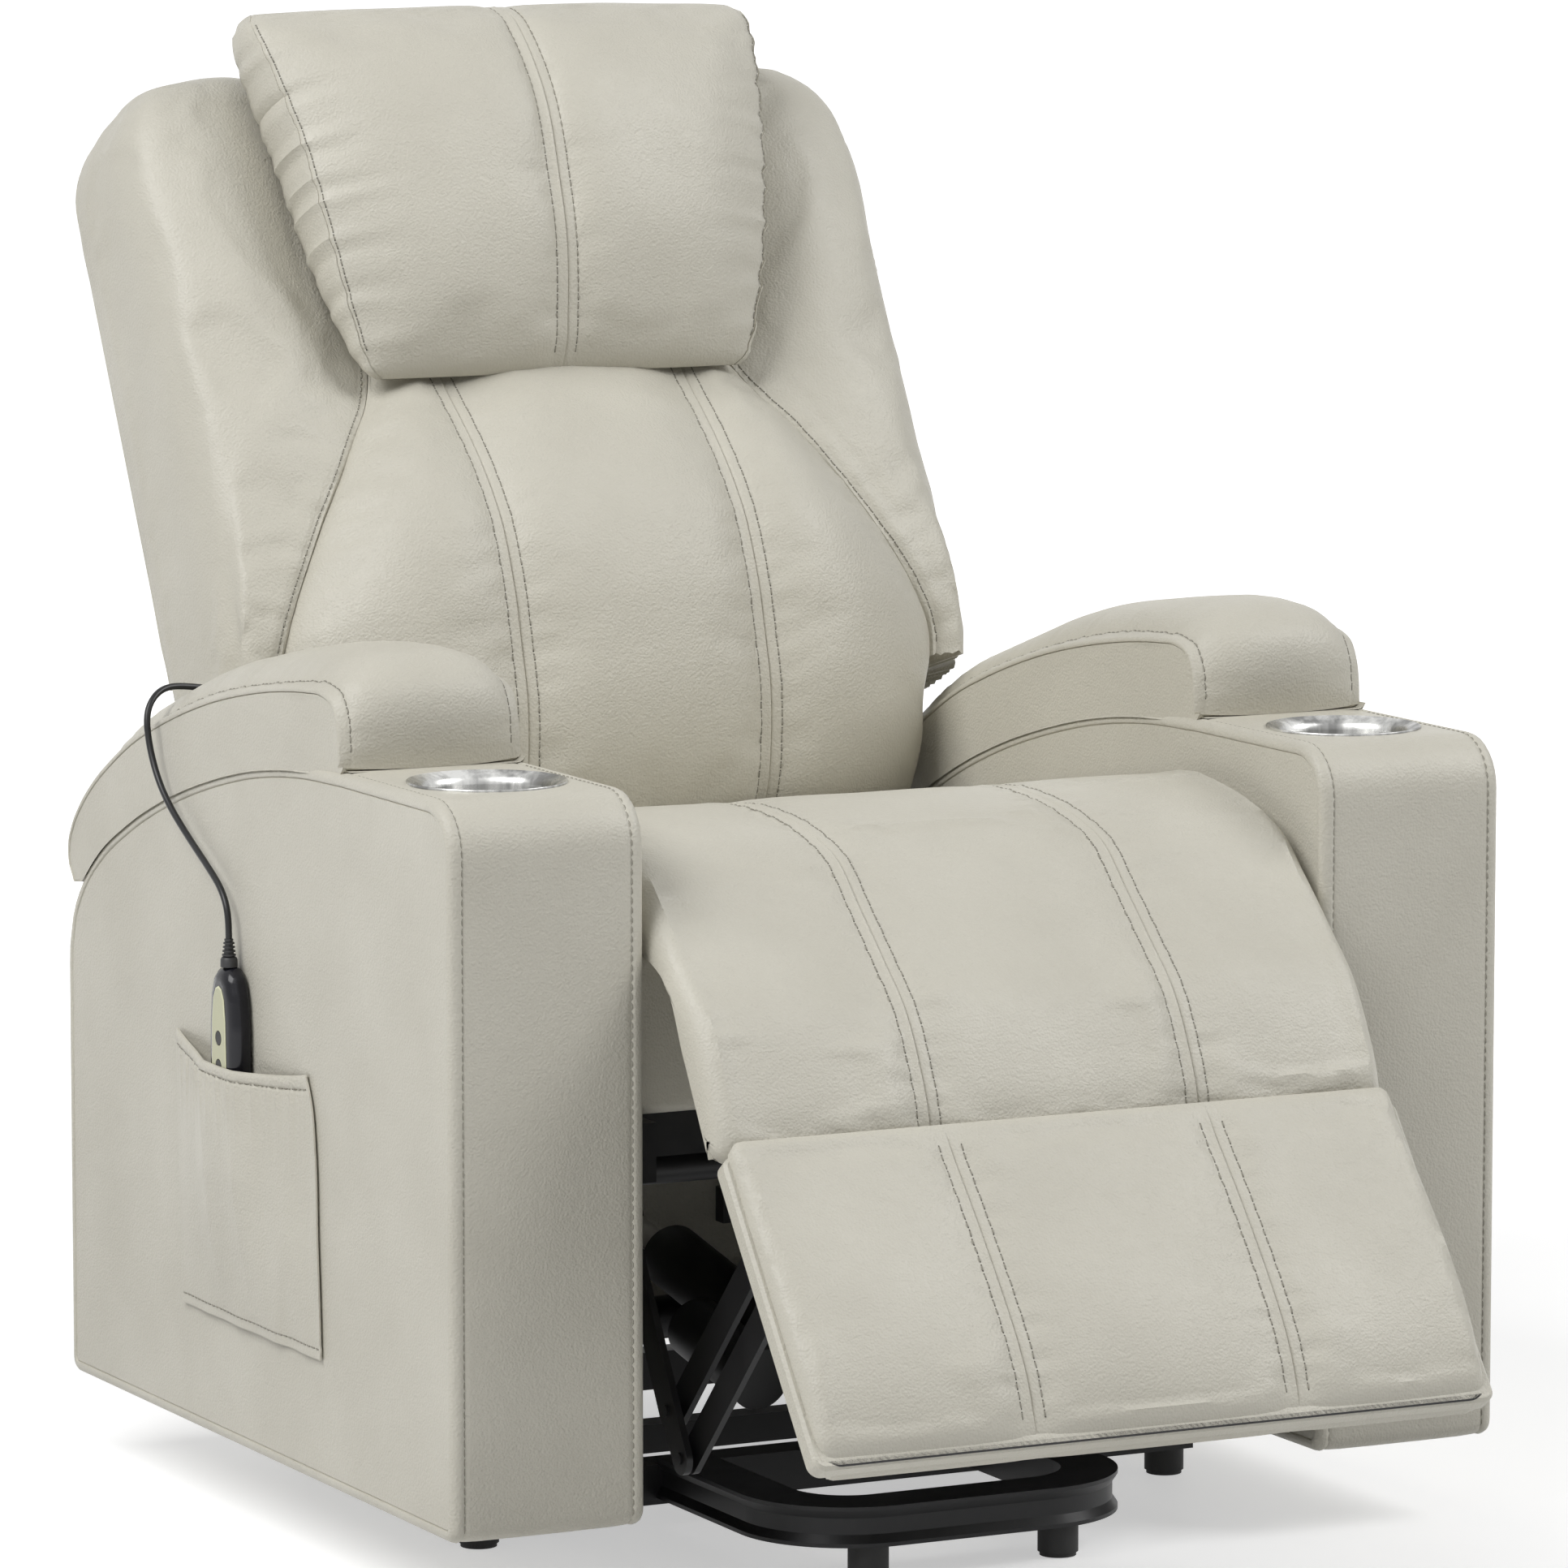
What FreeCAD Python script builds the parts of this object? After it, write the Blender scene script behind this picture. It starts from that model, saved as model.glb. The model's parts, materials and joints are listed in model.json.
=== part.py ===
import FreeCAD, Part
import math
import os
import re
import Sketcher
from FreeCAD import Placement, Rotation, Vector

# A power lift recliner with massage: padded armchair, lift base, reclining back, footrest.
# Millimetres. Z is up, the sitter faces -Y, the sitter's right hand is at -X.
# The origin is on the floor under the middle of the chair.
# Heights are above the floor. Depths count from the front of the arms, +Y to the back.

SIZES = [
    # whole chair and arms
    ("overall_width", 851), ("arm_width", 151), ("arm_front", -346), ("arm_depth", 707),
    ("arm_bottom", 63), ("arm_top", 587), ("arm_rear_top", 408), ("arm_bend", 38),
    ("arm_level_share", 0.267), ("arm_shoulder", 64),
    ("arm_wall", 16), ("arm_edge", 7), ("arm_top_wall", 20),
    ("pad_start", 183), ("pad_behind", 9), ("pad_crown", 660), ("pad_rear_low", 444),
    ("pad_overhang", 4.5), ("pad_draw", 7),
    # cup holders
    ("cup_centre", 100), ("cup_radius", 46), ("cup_depth", 75), ("cup_flange", 56),
    ("cup_wall", 1.2), ("cup_flange_thick", 2),
    # seat
    ("seat_side_gap", 6.5), ("seat_bottom", 350), ("seat_top", 531), ("seat_back_gap", 130.5),
    ("seat_nose_gap", 36.6), ("channel_x", 106), ("channel_deep", 7), ("seat_crown", 8),
    ("rail_wide", 22), ("rail_tall", 43), ("rail_start", 28), ("rail_rear_gap", 17),
    ("front_rail_y", 76), ("mid_rail_y", 366), ("rear_rail_gap", 104),
    ("cross_rail_wide", 28), ("cross_rail_tall", 34),
    ("webbing_wide", 50), ("webbing_thick", 3), ("webbing_count", 5),
    # knee line and footrest
    ("knee_y", -2), ("knee_z", 472), ("calf_length", 150), ("calf_thick", 52),
    ("calf_round", 28), ("calf_lean", 30.6), ("board_y", -102), ("board_z", 336),
    ("board_lean", 37), ("board_length", 240), ("board_thick", 14), ("foot_pad_thick", 15),
    ("foot_crown", 7), ("calf_crown", 5),
    # footrest linkage
    ("lower_joint_y", 60), ("lower_joint_z", 95), ("rear_joint_y", 82), ("rear_joint_z", 126),
    ("board_pin_y", -116), ("board_pin_z", 280), ("link_wide", 24), ("link_thick", 5),
    ("link_pin", 4.5), ("link_gap", 3), ("plate_spacer_long", 25.5), ("drive_tube", 13),
    ("drive_lever", 70), ("drive_lever_x", 85), ("lever_rest", 11), ("lever_thick", 6),
    # lift base
    ("hoop_half", 150), ("hoop_front", 15), ("hoop_wide", 42), ("hoop_tall", 30),
    ("hoop_low", 25), ("hoop_corner", 85), ("hoop_groove", 4), ("groove_tall", 12),
    ("bar_y", 240), ("bar_wide", 30), ("bar_tall", 30), ("bar_low", 20), ("bar_reach", 30.5),
    ("base_rail_inset", 11.4), ("base_rail_wide", 24), ("base_rear_gap", 57), ("second_bar_y", 408),
    ("foot_radius", 15), ("front_foot_x", 78), ("bar_foot_inset", 17),
    # lift linkage
    ("lift_base_inset", 40), ("lift_base_z", 81), ("lift_seat_y", 314), ("lift_seat_z", 146),
    ("stab_base_ahead", 110), ("stab_base_z", 165), ("stab_seat_y", 265), ("stab_seat_z", 200),
    ("lift_wide", 32), ("lift_thick", 6), ("lift_pin", 6), ("bracket_gap", 0.1),
    ("lift_arm_gap", 2.4), ("stab_gap", 4), ("stab_foot_thick", 5), ("torque_tube", 17), ("torque_bore", 13),
    ("open_pin_play", 0.7), ("board_pin_play", 0.3), ("running_play", 0.06),
    # lift actuator
    ("lift_motor_y", 237), ("lift_motor_z", 93), ("lift_rod_behind", 7), ("lift_rod_z", 166),
    ("actuator_radius", 25), ("actuator_start", 26), ("actuator_end", 290),
    ("rod_radius", 10), ("rod_start", 150), ("eye_radius", 16), ("eye_thick", 16),
    ("rod_eye_play", 4.4), ("motor_radius", 24), ("motor_length", 110),
    # rail actuators under the seat
    ("rail_actuator_wide", 32), ("rail_actuator_tall", 22), ("slider_length", 46),
    ("back_slider_length", 28), ("fork_length", 26), ("fork_play", 2.3),
    ("foot_rail_start", 70), ("foot_rail_end", 400), ("foot_rail_z", 247),
    ("back_rail_start", 360), ("back_rail_gap", 13), ("back_rail_z", 268), ("back_rail_x", 120),
    # back
    ("back_pivot_gap", 27), ("back_pivot_z", 425), ("back_lean", 27), ("wing_over", 43.5),
    ("back_side_gap", 12.5), ("back_step", 172), ("back_high", 652), ("shell_rear", 4),
    ("shell_deep", 34), ("shell_wall", 8), ("shell_corner", 82), ("shell_low", 42),
    ("frame_tube", 24), ("frame_half", 226), ("frame_low", 60), ("frame_high", 628),
    ("lumbar", 195), ("back_channel", 104), ("wing_front", 140), ("wing_seam_gap", 0.5), ("pillow_back", -0.5),
    ("back_lever", 80), ("hinge_thick", 6), ("hinge_high", 60), ("shell_slot_play", 1),
    ("vibrator_radius", 36), ("vibrator_thick", 17),
    # pocket, handset and cord
    ("pocket_start", 240), ("pocket_end", 490), ("pocket_low", 153), ("pocket_high", 357),
    ("pocket_wall", 1.6), ("handset_y", 370), ("handset_low", 275), ("handset_length", 150),
    ("handset_wide", 48), ("handset_thick", 16.5), ("handset_gap", 0.4), ("faceplate_thick", 0.8),
    ("button_radius", 5), ("button_travel", 1), ("button_step", 21), ("button_top", 372),
    ("relief_length", 20), ("relief_radius", 5), ("cord_radius", 2.5),
    # rear
    ("rear_panel_thick", 9), ("control_long", 150), ("control_wide", 100), ("control_tall", 52),
    ("inlet_wide", 50), ("inlet_tall", 28), ("inlet_z", 150), ("inlet_x", 150),
]

# sizes that follow from the ones above: across the chair, from the arms' inner faces inwards,
# and in depth, from the rear of the arms forwards
LINKED = [
    ("half_width", "overall_width / 2"),
    ("inner_x", "half_width - arm_width"),
    ("seat_half", "inner_x - seat_side_gap"),
    ("back_low_half", "inner_x - back_side_gap"),
    ("back_half", "inner_x + wing_over"),
    ("seat_plate_x", "inner_x - rail_wide - plate_spacer_long - link_thick"),
    ("rear_link_x", "seat_plate_x - link_gap - link_thick"),
    ("front_link_x", "rear_link_x - link_gap - link_thick"),
    ("foot_bracket_x", "front_link_x - link_gap - link_thick"),
    ("bracket_x", "inner_x - rail_wide - bracket_gap - lift_thick"),
    ("lift_arm_x", "bracket_x - lift_arm_gap - lift_thick"),
    ("stab_x", "lift_arm_x - stab_gap - lift_thick"),
    ("base_rail_x", "bracket_x - base_rail_inset"),
    ("bar_half", "inner_x + bar_reach"),
    ("bar_foot_x", "bar_half - bar_foot_inset"),
    ("back_pivot_y", "arm_depth - back_pivot_gap"),
    ("seat_rear", "back_pivot_y - seat_back_gap"),
    ("rail_end", "arm_depth - rail_rear_gap"),
    ("rear_rail_y", "rail_end - rear_rail_gap"),
    ("back_rail_end", "arm_depth - back_rail_gap"),
    ("base_rear", "arm_depth - base_rear_gap"),
    ("lift_base_y", "base_rear - lift_base_inset"),
    ("lift_rod_y", "lift_base_y + lift_rod_behind"),
    ("stab_base_y", "lift_base_y - stab_base_ahead"),
    ("pad_end", "arm_depth + pad_behind"),
]

doc = FreeCAD.newDocument("lift_recliner")
sheet = doc.addObject("Spreadsheet::Sheet", "Sizes")
for row, (alias, value) in enumerate(SIZES, start=1):
    sheet.set("A%d" % row, str(value))
    sheet.setAlias("A%d" % row, alias)
doc.recompute()

LINKS = dict(LINKED)
LINK_WORDS = re.compile(r"\b(" + "|".join(LINKS) + r")\b")
WORDS = re.compile(r"\b(" + "|".join(alias for alias, _ in SIZES) + r")\b")
nodes = []


def spelled(formula):
    # a formula with each linked size written out in the sheet's own aliases
    text = str(formula)
    while LINK_WORDS.search(text):
        text = LINK_WORDS.sub(lambda hit: "(%s)" % LINKS[hit.group(1)], text)
    return text


def mm(name):
    return number_of(name) if name in LINKS else float(getattr(sheet, name))


def depth(y):
    # a depth behind the front of the arms, in the chair's own frame
    return mm("arm_front") + y


def bind(item, prop, formula):
    item.setExpression(prop, WORDS.sub(r"Sizes.\1", spelled(formula)))


def place(item, x, y, z):
    bind(item, "Placement.Base.x", x)
    bind(item, "Placement.Base.y", "arm_front + (%s)" % y)
    bind(item, "Placement.Base.z", z)


def node(item, label):
    item.Label = label
    nodes.append(item)
    return item


def box(name, at, size):
    item = doc.addObject("Part::Box", name)
    place(item, *at)
    for prop, formula in zip(("Length", "Width", "Height"), size):
        bind(item, prop, formula)
    return item


def rod(name, axis, at, radius, length):
    item = doc.addObject("Part::Cylinder", name)
    turn = {"X": Rotation(Vector(0, 1, 0), 90), "Y": Rotation(Vector(1, 0, 0), -90), "Z": Rotation()}
    item.Placement = Placement(Vector(), turn[axis])
    place(item, *at)
    bind(item, "Radius", radius)
    bind(item, "Height", length)
    return item


def cut(name, base, *tools):
    for number, tool in enumerate(tools):
        step = doc.addObject("Part::Cut", "%s_cut%d" % (name, number))
        step.Base, step.Tool = base, tool
        base = step
    return base


def fuse(name, *parts):
    item = doc.addObject("Part::MultiFuse", name)
    item.Shapes = list(parts)
    return item


def mirror(name, source):
    item = doc.addObject("Part::Mirroring", name)
    item.Source = source
    item.Normal = Vector(1, 0, 0)
    return item


def group(name, *parts):
    item = doc.addObject("Part::Compound", name)
    item.Links = list(parts)
    return item


def both_sides(name, source):
    return group(name, source, mirror(name + "_mirrored", source))


def feature(name, shape):
    item = doc.addObject("Part::Feature", name)
    item.Shape = shape
    return item


def sketch_in(body, role, name):
    sketch = body.newObject("Sketcher::SketchObject", name)
    plane = [f for f in body.Origin.OriginFeatures if f.Role == role][0]
    sketch.AttachmentSupport = [(plane, "")]
    sketch.MapMode = "FlatFace"
    return sketch


def number_of(formula):
    known = {alias: float(getattr(sheet, alias)) for alias, _ in SIZES}
    cell = doc.getObject("Scratch") or doc.addObject("App::FeaturePython", "Scratch")
    if not hasattr(cell, "Result"):
        cell.addProperty("App::PropertyFloat", "Result")
    text = WORDS.sub(lambda hit: "(%r)" % known[hit.group(1)], spelled(formula))
    return float(cell.evalExpression(text))


def plate(name, corners, x, thick, holes=()):
    # a flat plate standing in the side plane, from its corners and holes (y, z, radius)
    body = doc.addObject("PartDesign::Body", name)
    sketch = sketch_in(body, "YZ_Plane", name + "_outline")
    points = [Vector(number_of(y), number_of(z), 0) for y, z in corners]
    count = len(points)
    for index in range(count):
        sketch.addGeometry(Part.LineSegment(points[index], points[(index + 1) % count]), False)
    for index in range(count):
        sketch.addConstraint(Sketcher.Constraint("Coincident", index, 2, (index + 1) % count, 1))
    for index, (y, z) in enumerate(corners):
        fix_point(sketch, index, 1, y, z, points[index])
    for y, z, radius in holes:
        centre = Vector(number_of(y), number_of(z), 0)
        circle = sketch.addGeometry(Part.Circle(centre, Vector(0, 0, 1), number_of(radius)), False)
        fix_point(sketch, circle, 3, y, z, centre)
        size = sketch.addConstraint(Sketcher.Constraint("Radius", circle, number_of(radius)))
        bind(sketch, "Constraints[%d]" % size, radius)
    pad = body.newObject("PartDesign::Pad", name + "_pad")
    pad.Profile = sketch
    bind(pad, "Length", thick)
    body.Tip = pad
    place(body, x, 0, 0)
    return body


def fix_point(sketch, geometry, end, y, z, point):
    across = sketch.addConstraint(Sketcher.Constraint("DistanceX", -1, 1, geometry, end, point.x))
    bind(sketch, "Constraints[%d]" % across, y)
    upward = sketch.addConstraint(Sketcher.Constraint("DistanceY", -1, 1, geometry, end, point.y))
    bind(sketch, "Constraints[%d]" % upward, z)


def bar(name, start, end, wide, x, thick, start_hole, end_hole):
    # a flat link between two pivots given as (y formula, z formula), with round ends
    (y1, z1), (y2, z2) = start, end
    length = "sqrt((%s - (%s))^2 + (%s - (%s))^2)" % (y2, y1, z2, z1)
    rise = math.atan2(number_of(z2) - number_of(z1), number_of(y2) - number_of(y1))
    body = doc.addObject("Part::Box", name + "_web")
    bind(body, "Length", thick)
    bind(body, "Width", length)
    bind(body, "Height", wide)
    half = number_of(wide) / 2
    turn = Rotation(Vector(1, 0, 0), math.degrees(rise))
    foot = turn.multVec(Vector(0, 0, -half))
    corner = Vector(number_of(x), depth(number_of(y1)) + foot.y, number_of(z1) + foot.z)
    body.Placement = Placement(corner, turn)
    whole = fuse(name + "_plate", body,
                 rod(name + "_start", "X", (x, y1, z1), "%s / 2" % wide, thick),
                 rod(name + "_end", "X", (x, y2, z2), "%s / 2" % wide, thick))
    through = "%s + 2" % thick
    return cut(name, whole,
               rod(name + "_start_hole", "X", ("%s - 1" % x, y1, z1), start_hole, through),
               rod(name + "_end_hole", "X", ("%s - 1" % x, y2, z2), end_hole, through))


def side_wire(points, x, swell, frame):
    # one closed section in a side plane. A point is (a, b, push a, push b, kind); a "via" point
    # is the middle of an arc between its neighbours, and a push moves the point with the swell
    spots = []
    for a, b, push_a, push_b, kind in points:
        spots.append((frame(x, a + push_a * swell, b + push_b * swell), kind))
    edges = []
    index = 0
    while index < len(spots):
        here = spots[index][0]
        after, kind = spots[(index + 1) % len(spots)]
        if kind == "via":
            far = spots[(index + 2) % len(spots)][0]
            edges.append(Part.Arc(here, after, far).toShape())
            index += 2
        else:
            edges.append(Part.LineSegment(here, after).toShape())
            index += 1
    return Part.Wire(edges)


def strip(points, stations, frame):
    wires = [side_wire(points, x, swell, frame) for x, swell in stations]
    return Part.makeLoft(wires, True, False)


def channelled(points, half, channel, groove, crown, draw, frame):
    # a padded form in three strips that meet in two sewn channels
    centre = strip(points, [(-channel, -groove), (-channel + 9, -1), (0, crown),
                            (channel - 9, -1), (channel, -groove)], frame)
    middle = (half + channel) / 2
    side = [(channel, -groove), (channel + 9, -1), (middle, crown * 0.8), (half - 12, -1), (half, -draw)]
    right = strip(points, side, frame)
    left = strip(points, [(-x, swell) for x, swell in reversed(side)], frame)
    return solid_of(centre.fuse([right, left]))


def solid_of(shape):
    return shape.Solids[0] if len(shape.Solids) == 1 else shape


def chair_side(x, y, z):
    return Vector(x, depth(y), z)


def leaning(y0, z0, lean):
    # a side plane whose a axis runs down and forward at the lean, and whose b axis faces front
    along = Vector(0, -math.sin(math.radians(lean)), -math.cos(math.radians(lean)))
    out = Vector(0, -math.cos(math.radians(lean)), math.sin(math.radians(lean)))
    start = Vector(0, depth(y0), z0)
    return lambda x, a, b: start + Vector(x, 0, 0) + along * a + out * b


def back_side(x, up, out):
    # the back's own plane: up along the back from its pivot, out towards the sitter
    lean = math.radians(mm("back_lean"))
    pivot = Vector(x, depth(mm("back_pivot_y")), mm("back_pivot_z"))
    rise = Vector(0, math.sin(lean), math.cos(lean))
    front = Vector(0, -math.cos(lean), math.sin(lean))
    return pivot + rise * up + front * out


# the lift base that stands on the floor

def base_front_hoop():
    low, tall = mm("hoop_low"), mm("hoop_tall")
    half, wide, corner = mm("hoop_half"), mm("hoop_wide"), mm("hoop_corner")
    front, rear = depth(mm("hoop_front")), depth(mm("bar_y"))
    groove, groove_tall = mm("hoop_groove"), mm("groove_tall")
    middle = low + tall / 2
    section = Part.makePolygon([
        Vector(-half, rear, low), Vector(-half, rear, middle - groove_tall),
        Vector(-half + groove, rear, middle - groove_tall / 2),
        Vector(-half + groove, rear, middle + groove_tall / 2),
        Vector(-half, rear, middle + groove_tall), Vector(-half, rear, low + tall),
        Vector(-half + wide, rear, low + tall), Vector(-half + wide, rear, low),
        Vector(-half, rear, low)])
    turn = corner - corner * math.sqrt(0.5)
    path = Part.Wire([
        Part.LineSegment(Vector(-half, rear, low), Vector(-half, front + corner, low)).toShape(),
        Part.Arc(Vector(-half, front + corner, low), Vector(-half + turn, front + turn, low),
                 Vector(-half + corner, front, low)).toShape(),
        Part.LineSegment(Vector(-half + corner, front, low), Vector(half - corner, front, low)).toShape(),
        Part.Arc(Vector(half - corner, front, low), Vector(half - turn, front + turn, low),
                 Vector(half, front + corner, low)).toShape(),
        Part.LineSegment(Vector(half, front + corner, low), Vector(half, rear, low)).toShape()])
    node(feature("base_front_hoop", path.makePipeShell([section], True, True)), "base_front_hoop")


def base_bars():
    crossbar = box("mid_bar", ("-bar_half", "bar_y", "bar_low"), ("2 * bar_half", "bar_wide", "bar_tall"))
    top = "bar_low + bar_tall"
    ear = plate("motor_ear", [("bar_y", top), ("bar_y + bar_wide", top),
                              ("lift_motor_y + 16", "lift_motor_z + 6"),
                              ("lift_motor_y + 6", "lift_motor_z + 14"),
                              ("lift_motor_y - 12", "lift_motor_z + 8"),
                              ("lift_motor_y - 12", "lift_motor_z - 8")],
                "eye_thick / 2 + 1.5", 5)
    pin = rod("motor_pin", "X", ("-eye_thick / 2 - 6.5", "lift_motor_y", "lift_motor_z"),
              "lift_pin", "eye_thick + 13")
    node(fuse("base_mid_crossbar", crossbar, both_sides("motor_ears", ear), pin), "base_mid_crossbar")
    rail = box("base_rail", ("base_rail_x", "bar_y + bar_wide", "bar_low"),
               ("base_rail_wide", "base_rear - bar_y - bar_wide", "bar_tall"))
    node(both_sides("base_side_rails", rail), "base_side_rails")
    second = box("second_bar", ("-base_rail_x", "second_bar_y", "bar_low"),
                 ("2 * base_rail_x", 24, "bar_tall - 8"))
    last = box("last_bar", ("-base_rail_x", "base_rear - 24", "bar_low"),
               ("2 * base_rail_x", 24, "bar_tall"))
    node(group("base_rear_crossbars", second, last), "base_rear_crossbars")


def base_pivot_brackets():
    top = "bar_low + bar_tall"
    web = plate("base_web", [
        ("lift_base_y - 74", top), ("base_rear - 8", top), ("lift_base_y + 26", "lift_base_z + 6"),
        ("lift_base_y + 10", "lift_base_z + 22"), ("lift_base_y - 18", "lift_base_z + 22")],
        "bracket_x", "lift_thick")
    lift_stud = rod("lift_stud", "X", ("lift_arm_x - 8", "lift_base_y", "lift_base_z"),
                    "lift_pin", "bracket_x + 1 - lift_arm_x + 8")
    # the stabilizer turns on a second web inside it, so that the lift arm swings past outside
    inner_x = "(stab_x - 2 - lift_thick)"
    post = plate("stab_web", [
        ("stab_base_y - 34", top), ("stab_base_y + 36", top), ("stab_base_y + 16", "stab_base_z + 6"),
        ("stab_base_y + 8", "stab_base_z + 18"), ("stab_base_y - 10", "stab_base_z + 18"),
        ("stab_base_y - 18", "stab_base_z + 4")], inner_x, "lift_thick")
    foot = box("stab_foot", (inner_x, "stab_base_y - 34", top),
               ("base_rail_x + base_rail_wide - %s" % inner_x, 70, "stab_foot_thick"))
    stab_stud = rod("stab_stud", "X", (inner_x + " + 1", "stab_base_y", "stab_base_z"),
                    "lift_pin", "lift_thick + lift_thick + 2")
    node(both_sides("base_pivot_brackets", fuse("base_bracket", web, lift_stud, post, foot, stab_stud)),
         "base_pivot_brackets")


def base_feet():
    spots = [("front_foot_x", "hoop_front + hoop_wide / 2 + 2", "hoop_low"),
             ("bar_foot_x", "bar_y + bar_wide / 2", "bar_low"),
             ("base_rail_x + base_rail_wide / 2", "base_rear - 20", "bar_low")]
    feet = []
    for number, (x, y, tall) in enumerate(spots):
        pad = rod("foot_pad%d" % number, "Z", (x, y, 0), "foot_radius - 1.5", tall)
        cap = rod("foot_cap%d" % number, "Z", (x, y, 3), "foot_radius", "%s - 3" % tall)
        feet.append(fuse("foot%d" % number, pad, cap))
    node(both_sides("base_feet", group("feet_one_side", *feet)), "base_feet")


# the lift linkage between base and chair

def lift_links():
    seat, base = ("lift_seat_y", "lift_seat_z"), ("lift_base_y", "lift_base_z")
    arm = bar("lift_arm", base, seat, "lift_wide", "lift_arm_x", "lift_thick",
              "lift_pin + running_play", "lift_pin + running_play")
    node(both_sides("lift_arms", arm), "lift_arms")
    tube = rod("torque_outer", "X", ("-lift_arm_x", "lift_base_y", "lift_base_z"),
               "torque_tube", "2 * lift_arm_x")
    bore = rod("torque_hole", "X", ("-lift_arm_x - 1", "lift_base_y", "lift_base_z"),
               "torque_bore", "2 * lift_arm_x + 2")
    lever = plate("lift_lever", [
        ("lift_base_y - 15", "lift_base_z + 5"), ("lift_base_y + 15", "lift_base_z + 5"),
        ("lift_rod_y + 12", "lift_rod_z - 4"), ("lift_rod_y + 9", "lift_rod_z + 10"),
        ("lift_rod_y - 9", "lift_rod_z + 10"), ("lift_rod_y - 13", "lift_rod_z - 4")],
        "eye_thick / 2 + 2", "lift_thick")
    pin = rod("lever_pin", "X", ("-eye_thick / 2 - 8", "lift_rod_y", "lift_rod_z"),
              "lift_pin", "eye_thick + 16")
    solid = fuse("torque_solid", tube, both_sides("lift_levers", lever), pin)
    node(cut("lift_torque_tube", solid, bore), "lift_torque_tube")
    link = bar("stabilizer", ("stab_base_y", "stab_base_z"), ("stab_seat_y", "stab_seat_z"),
               "lift_wide - 4", "stab_x", "lift_thick",
               "lift_pin + running_play", "lift_pin + open_pin_play")
    node(both_sides("lift_stabilizers", link), "lift_stabilizers")


def on_actuator_axis(item, start):
    rise = math.atan2(mm("lift_rod_z") - mm("lift_motor_z"), mm("lift_rod_y") - mm("lift_motor_y"))
    along = Vector(0, math.cos(rise), math.sin(rise))
    foot = Vector(0, depth(mm("lift_motor_y")), mm("lift_motor_z")) + along * start
    turn = Rotation(Vector(1, 0, 0), math.degrees(rise) - 90)
    item.Placement = Placement(foot, turn)
    return along


def axial(name, radius, start, end):
    item = doc.addObject("Part::Cylinder", name)
    bind(item, "Radius", radius)
    bind(item, "Height", "%s - (%s)" % (end, start))
    on_actuator_axis(item, number_of(start))
    return item


def lift_actuator():
    pivot = ("-eye_thick / 2", "lift_motor_y", "lift_motor_z")
    eye = rod("motor_eye", "X", pivot, "eye_radius", "eye_thick")
    neck = axial("actuator_neck", "eye_thick / 2 - 0.5", 0, "actuator_start + 4")
    barrel = axial("actuator_barrel", "actuator_radius", "actuator_start", "actuator_end")
    bore = axial("actuator_bore", "rod_radius + running_play", "rod_start - 20", "actuator_end + 1")
    hole = rod("motor_eye_hole", "X", ("-eye_thick / 2 - 1", "lift_motor_y", "lift_motor_z"),
               "lift_pin + running_play", "eye_thick + 2")
    node(cut("lift_actuator_housing", fuse("housing_solid", eye, neck, barrel), bore, hole),
         "lift_actuator_housing")
    motor = doc.addObject("Part::Cylinder", "lift_actuator_motor")
    bind(motor, "Radius", "motor_radius")
    bind(motor, "Height", "motor_length")
    along = on_actuator_axis(motor, mm("actuator_start") + 8)
    beside = Vector(-(mm("actuator_radius") + mm("motor_radius")), 0, 0)
    motor.Placement = Placement(motor.Placement.Base + beside, motor.Placement.Rotation)
    node(motor, "lift_actuator_motor")
    reach = "sqrt((lift_rod_y - lift_motor_y)^2 + (lift_rod_z - lift_motor_z)^2)"
    shaft = axial("rod_shaft", "rod_radius", "rod_start", "%s - (eye_radius + lift_pin + rod_eye_play) / 2" % reach)
    rod_eye = rod("rod_eye", "X", ("-eye_thick / 2", "lift_rod_y", "lift_rod_z"),
                  "eye_radius", "eye_thick")
    rod_hole = rod("rod_eye_hole", "X", ("-eye_thick / 2 - 1", "lift_rod_y", "lift_rod_z"),
                   "lift_pin + rod_eye_play", "eye_thick + 2")
    node(cut("lift_actuator_rod", fuse("rod_solid", shaft, rod_eye), rod_hole), "lift_actuator_rod")


# the seat chassis

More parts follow.
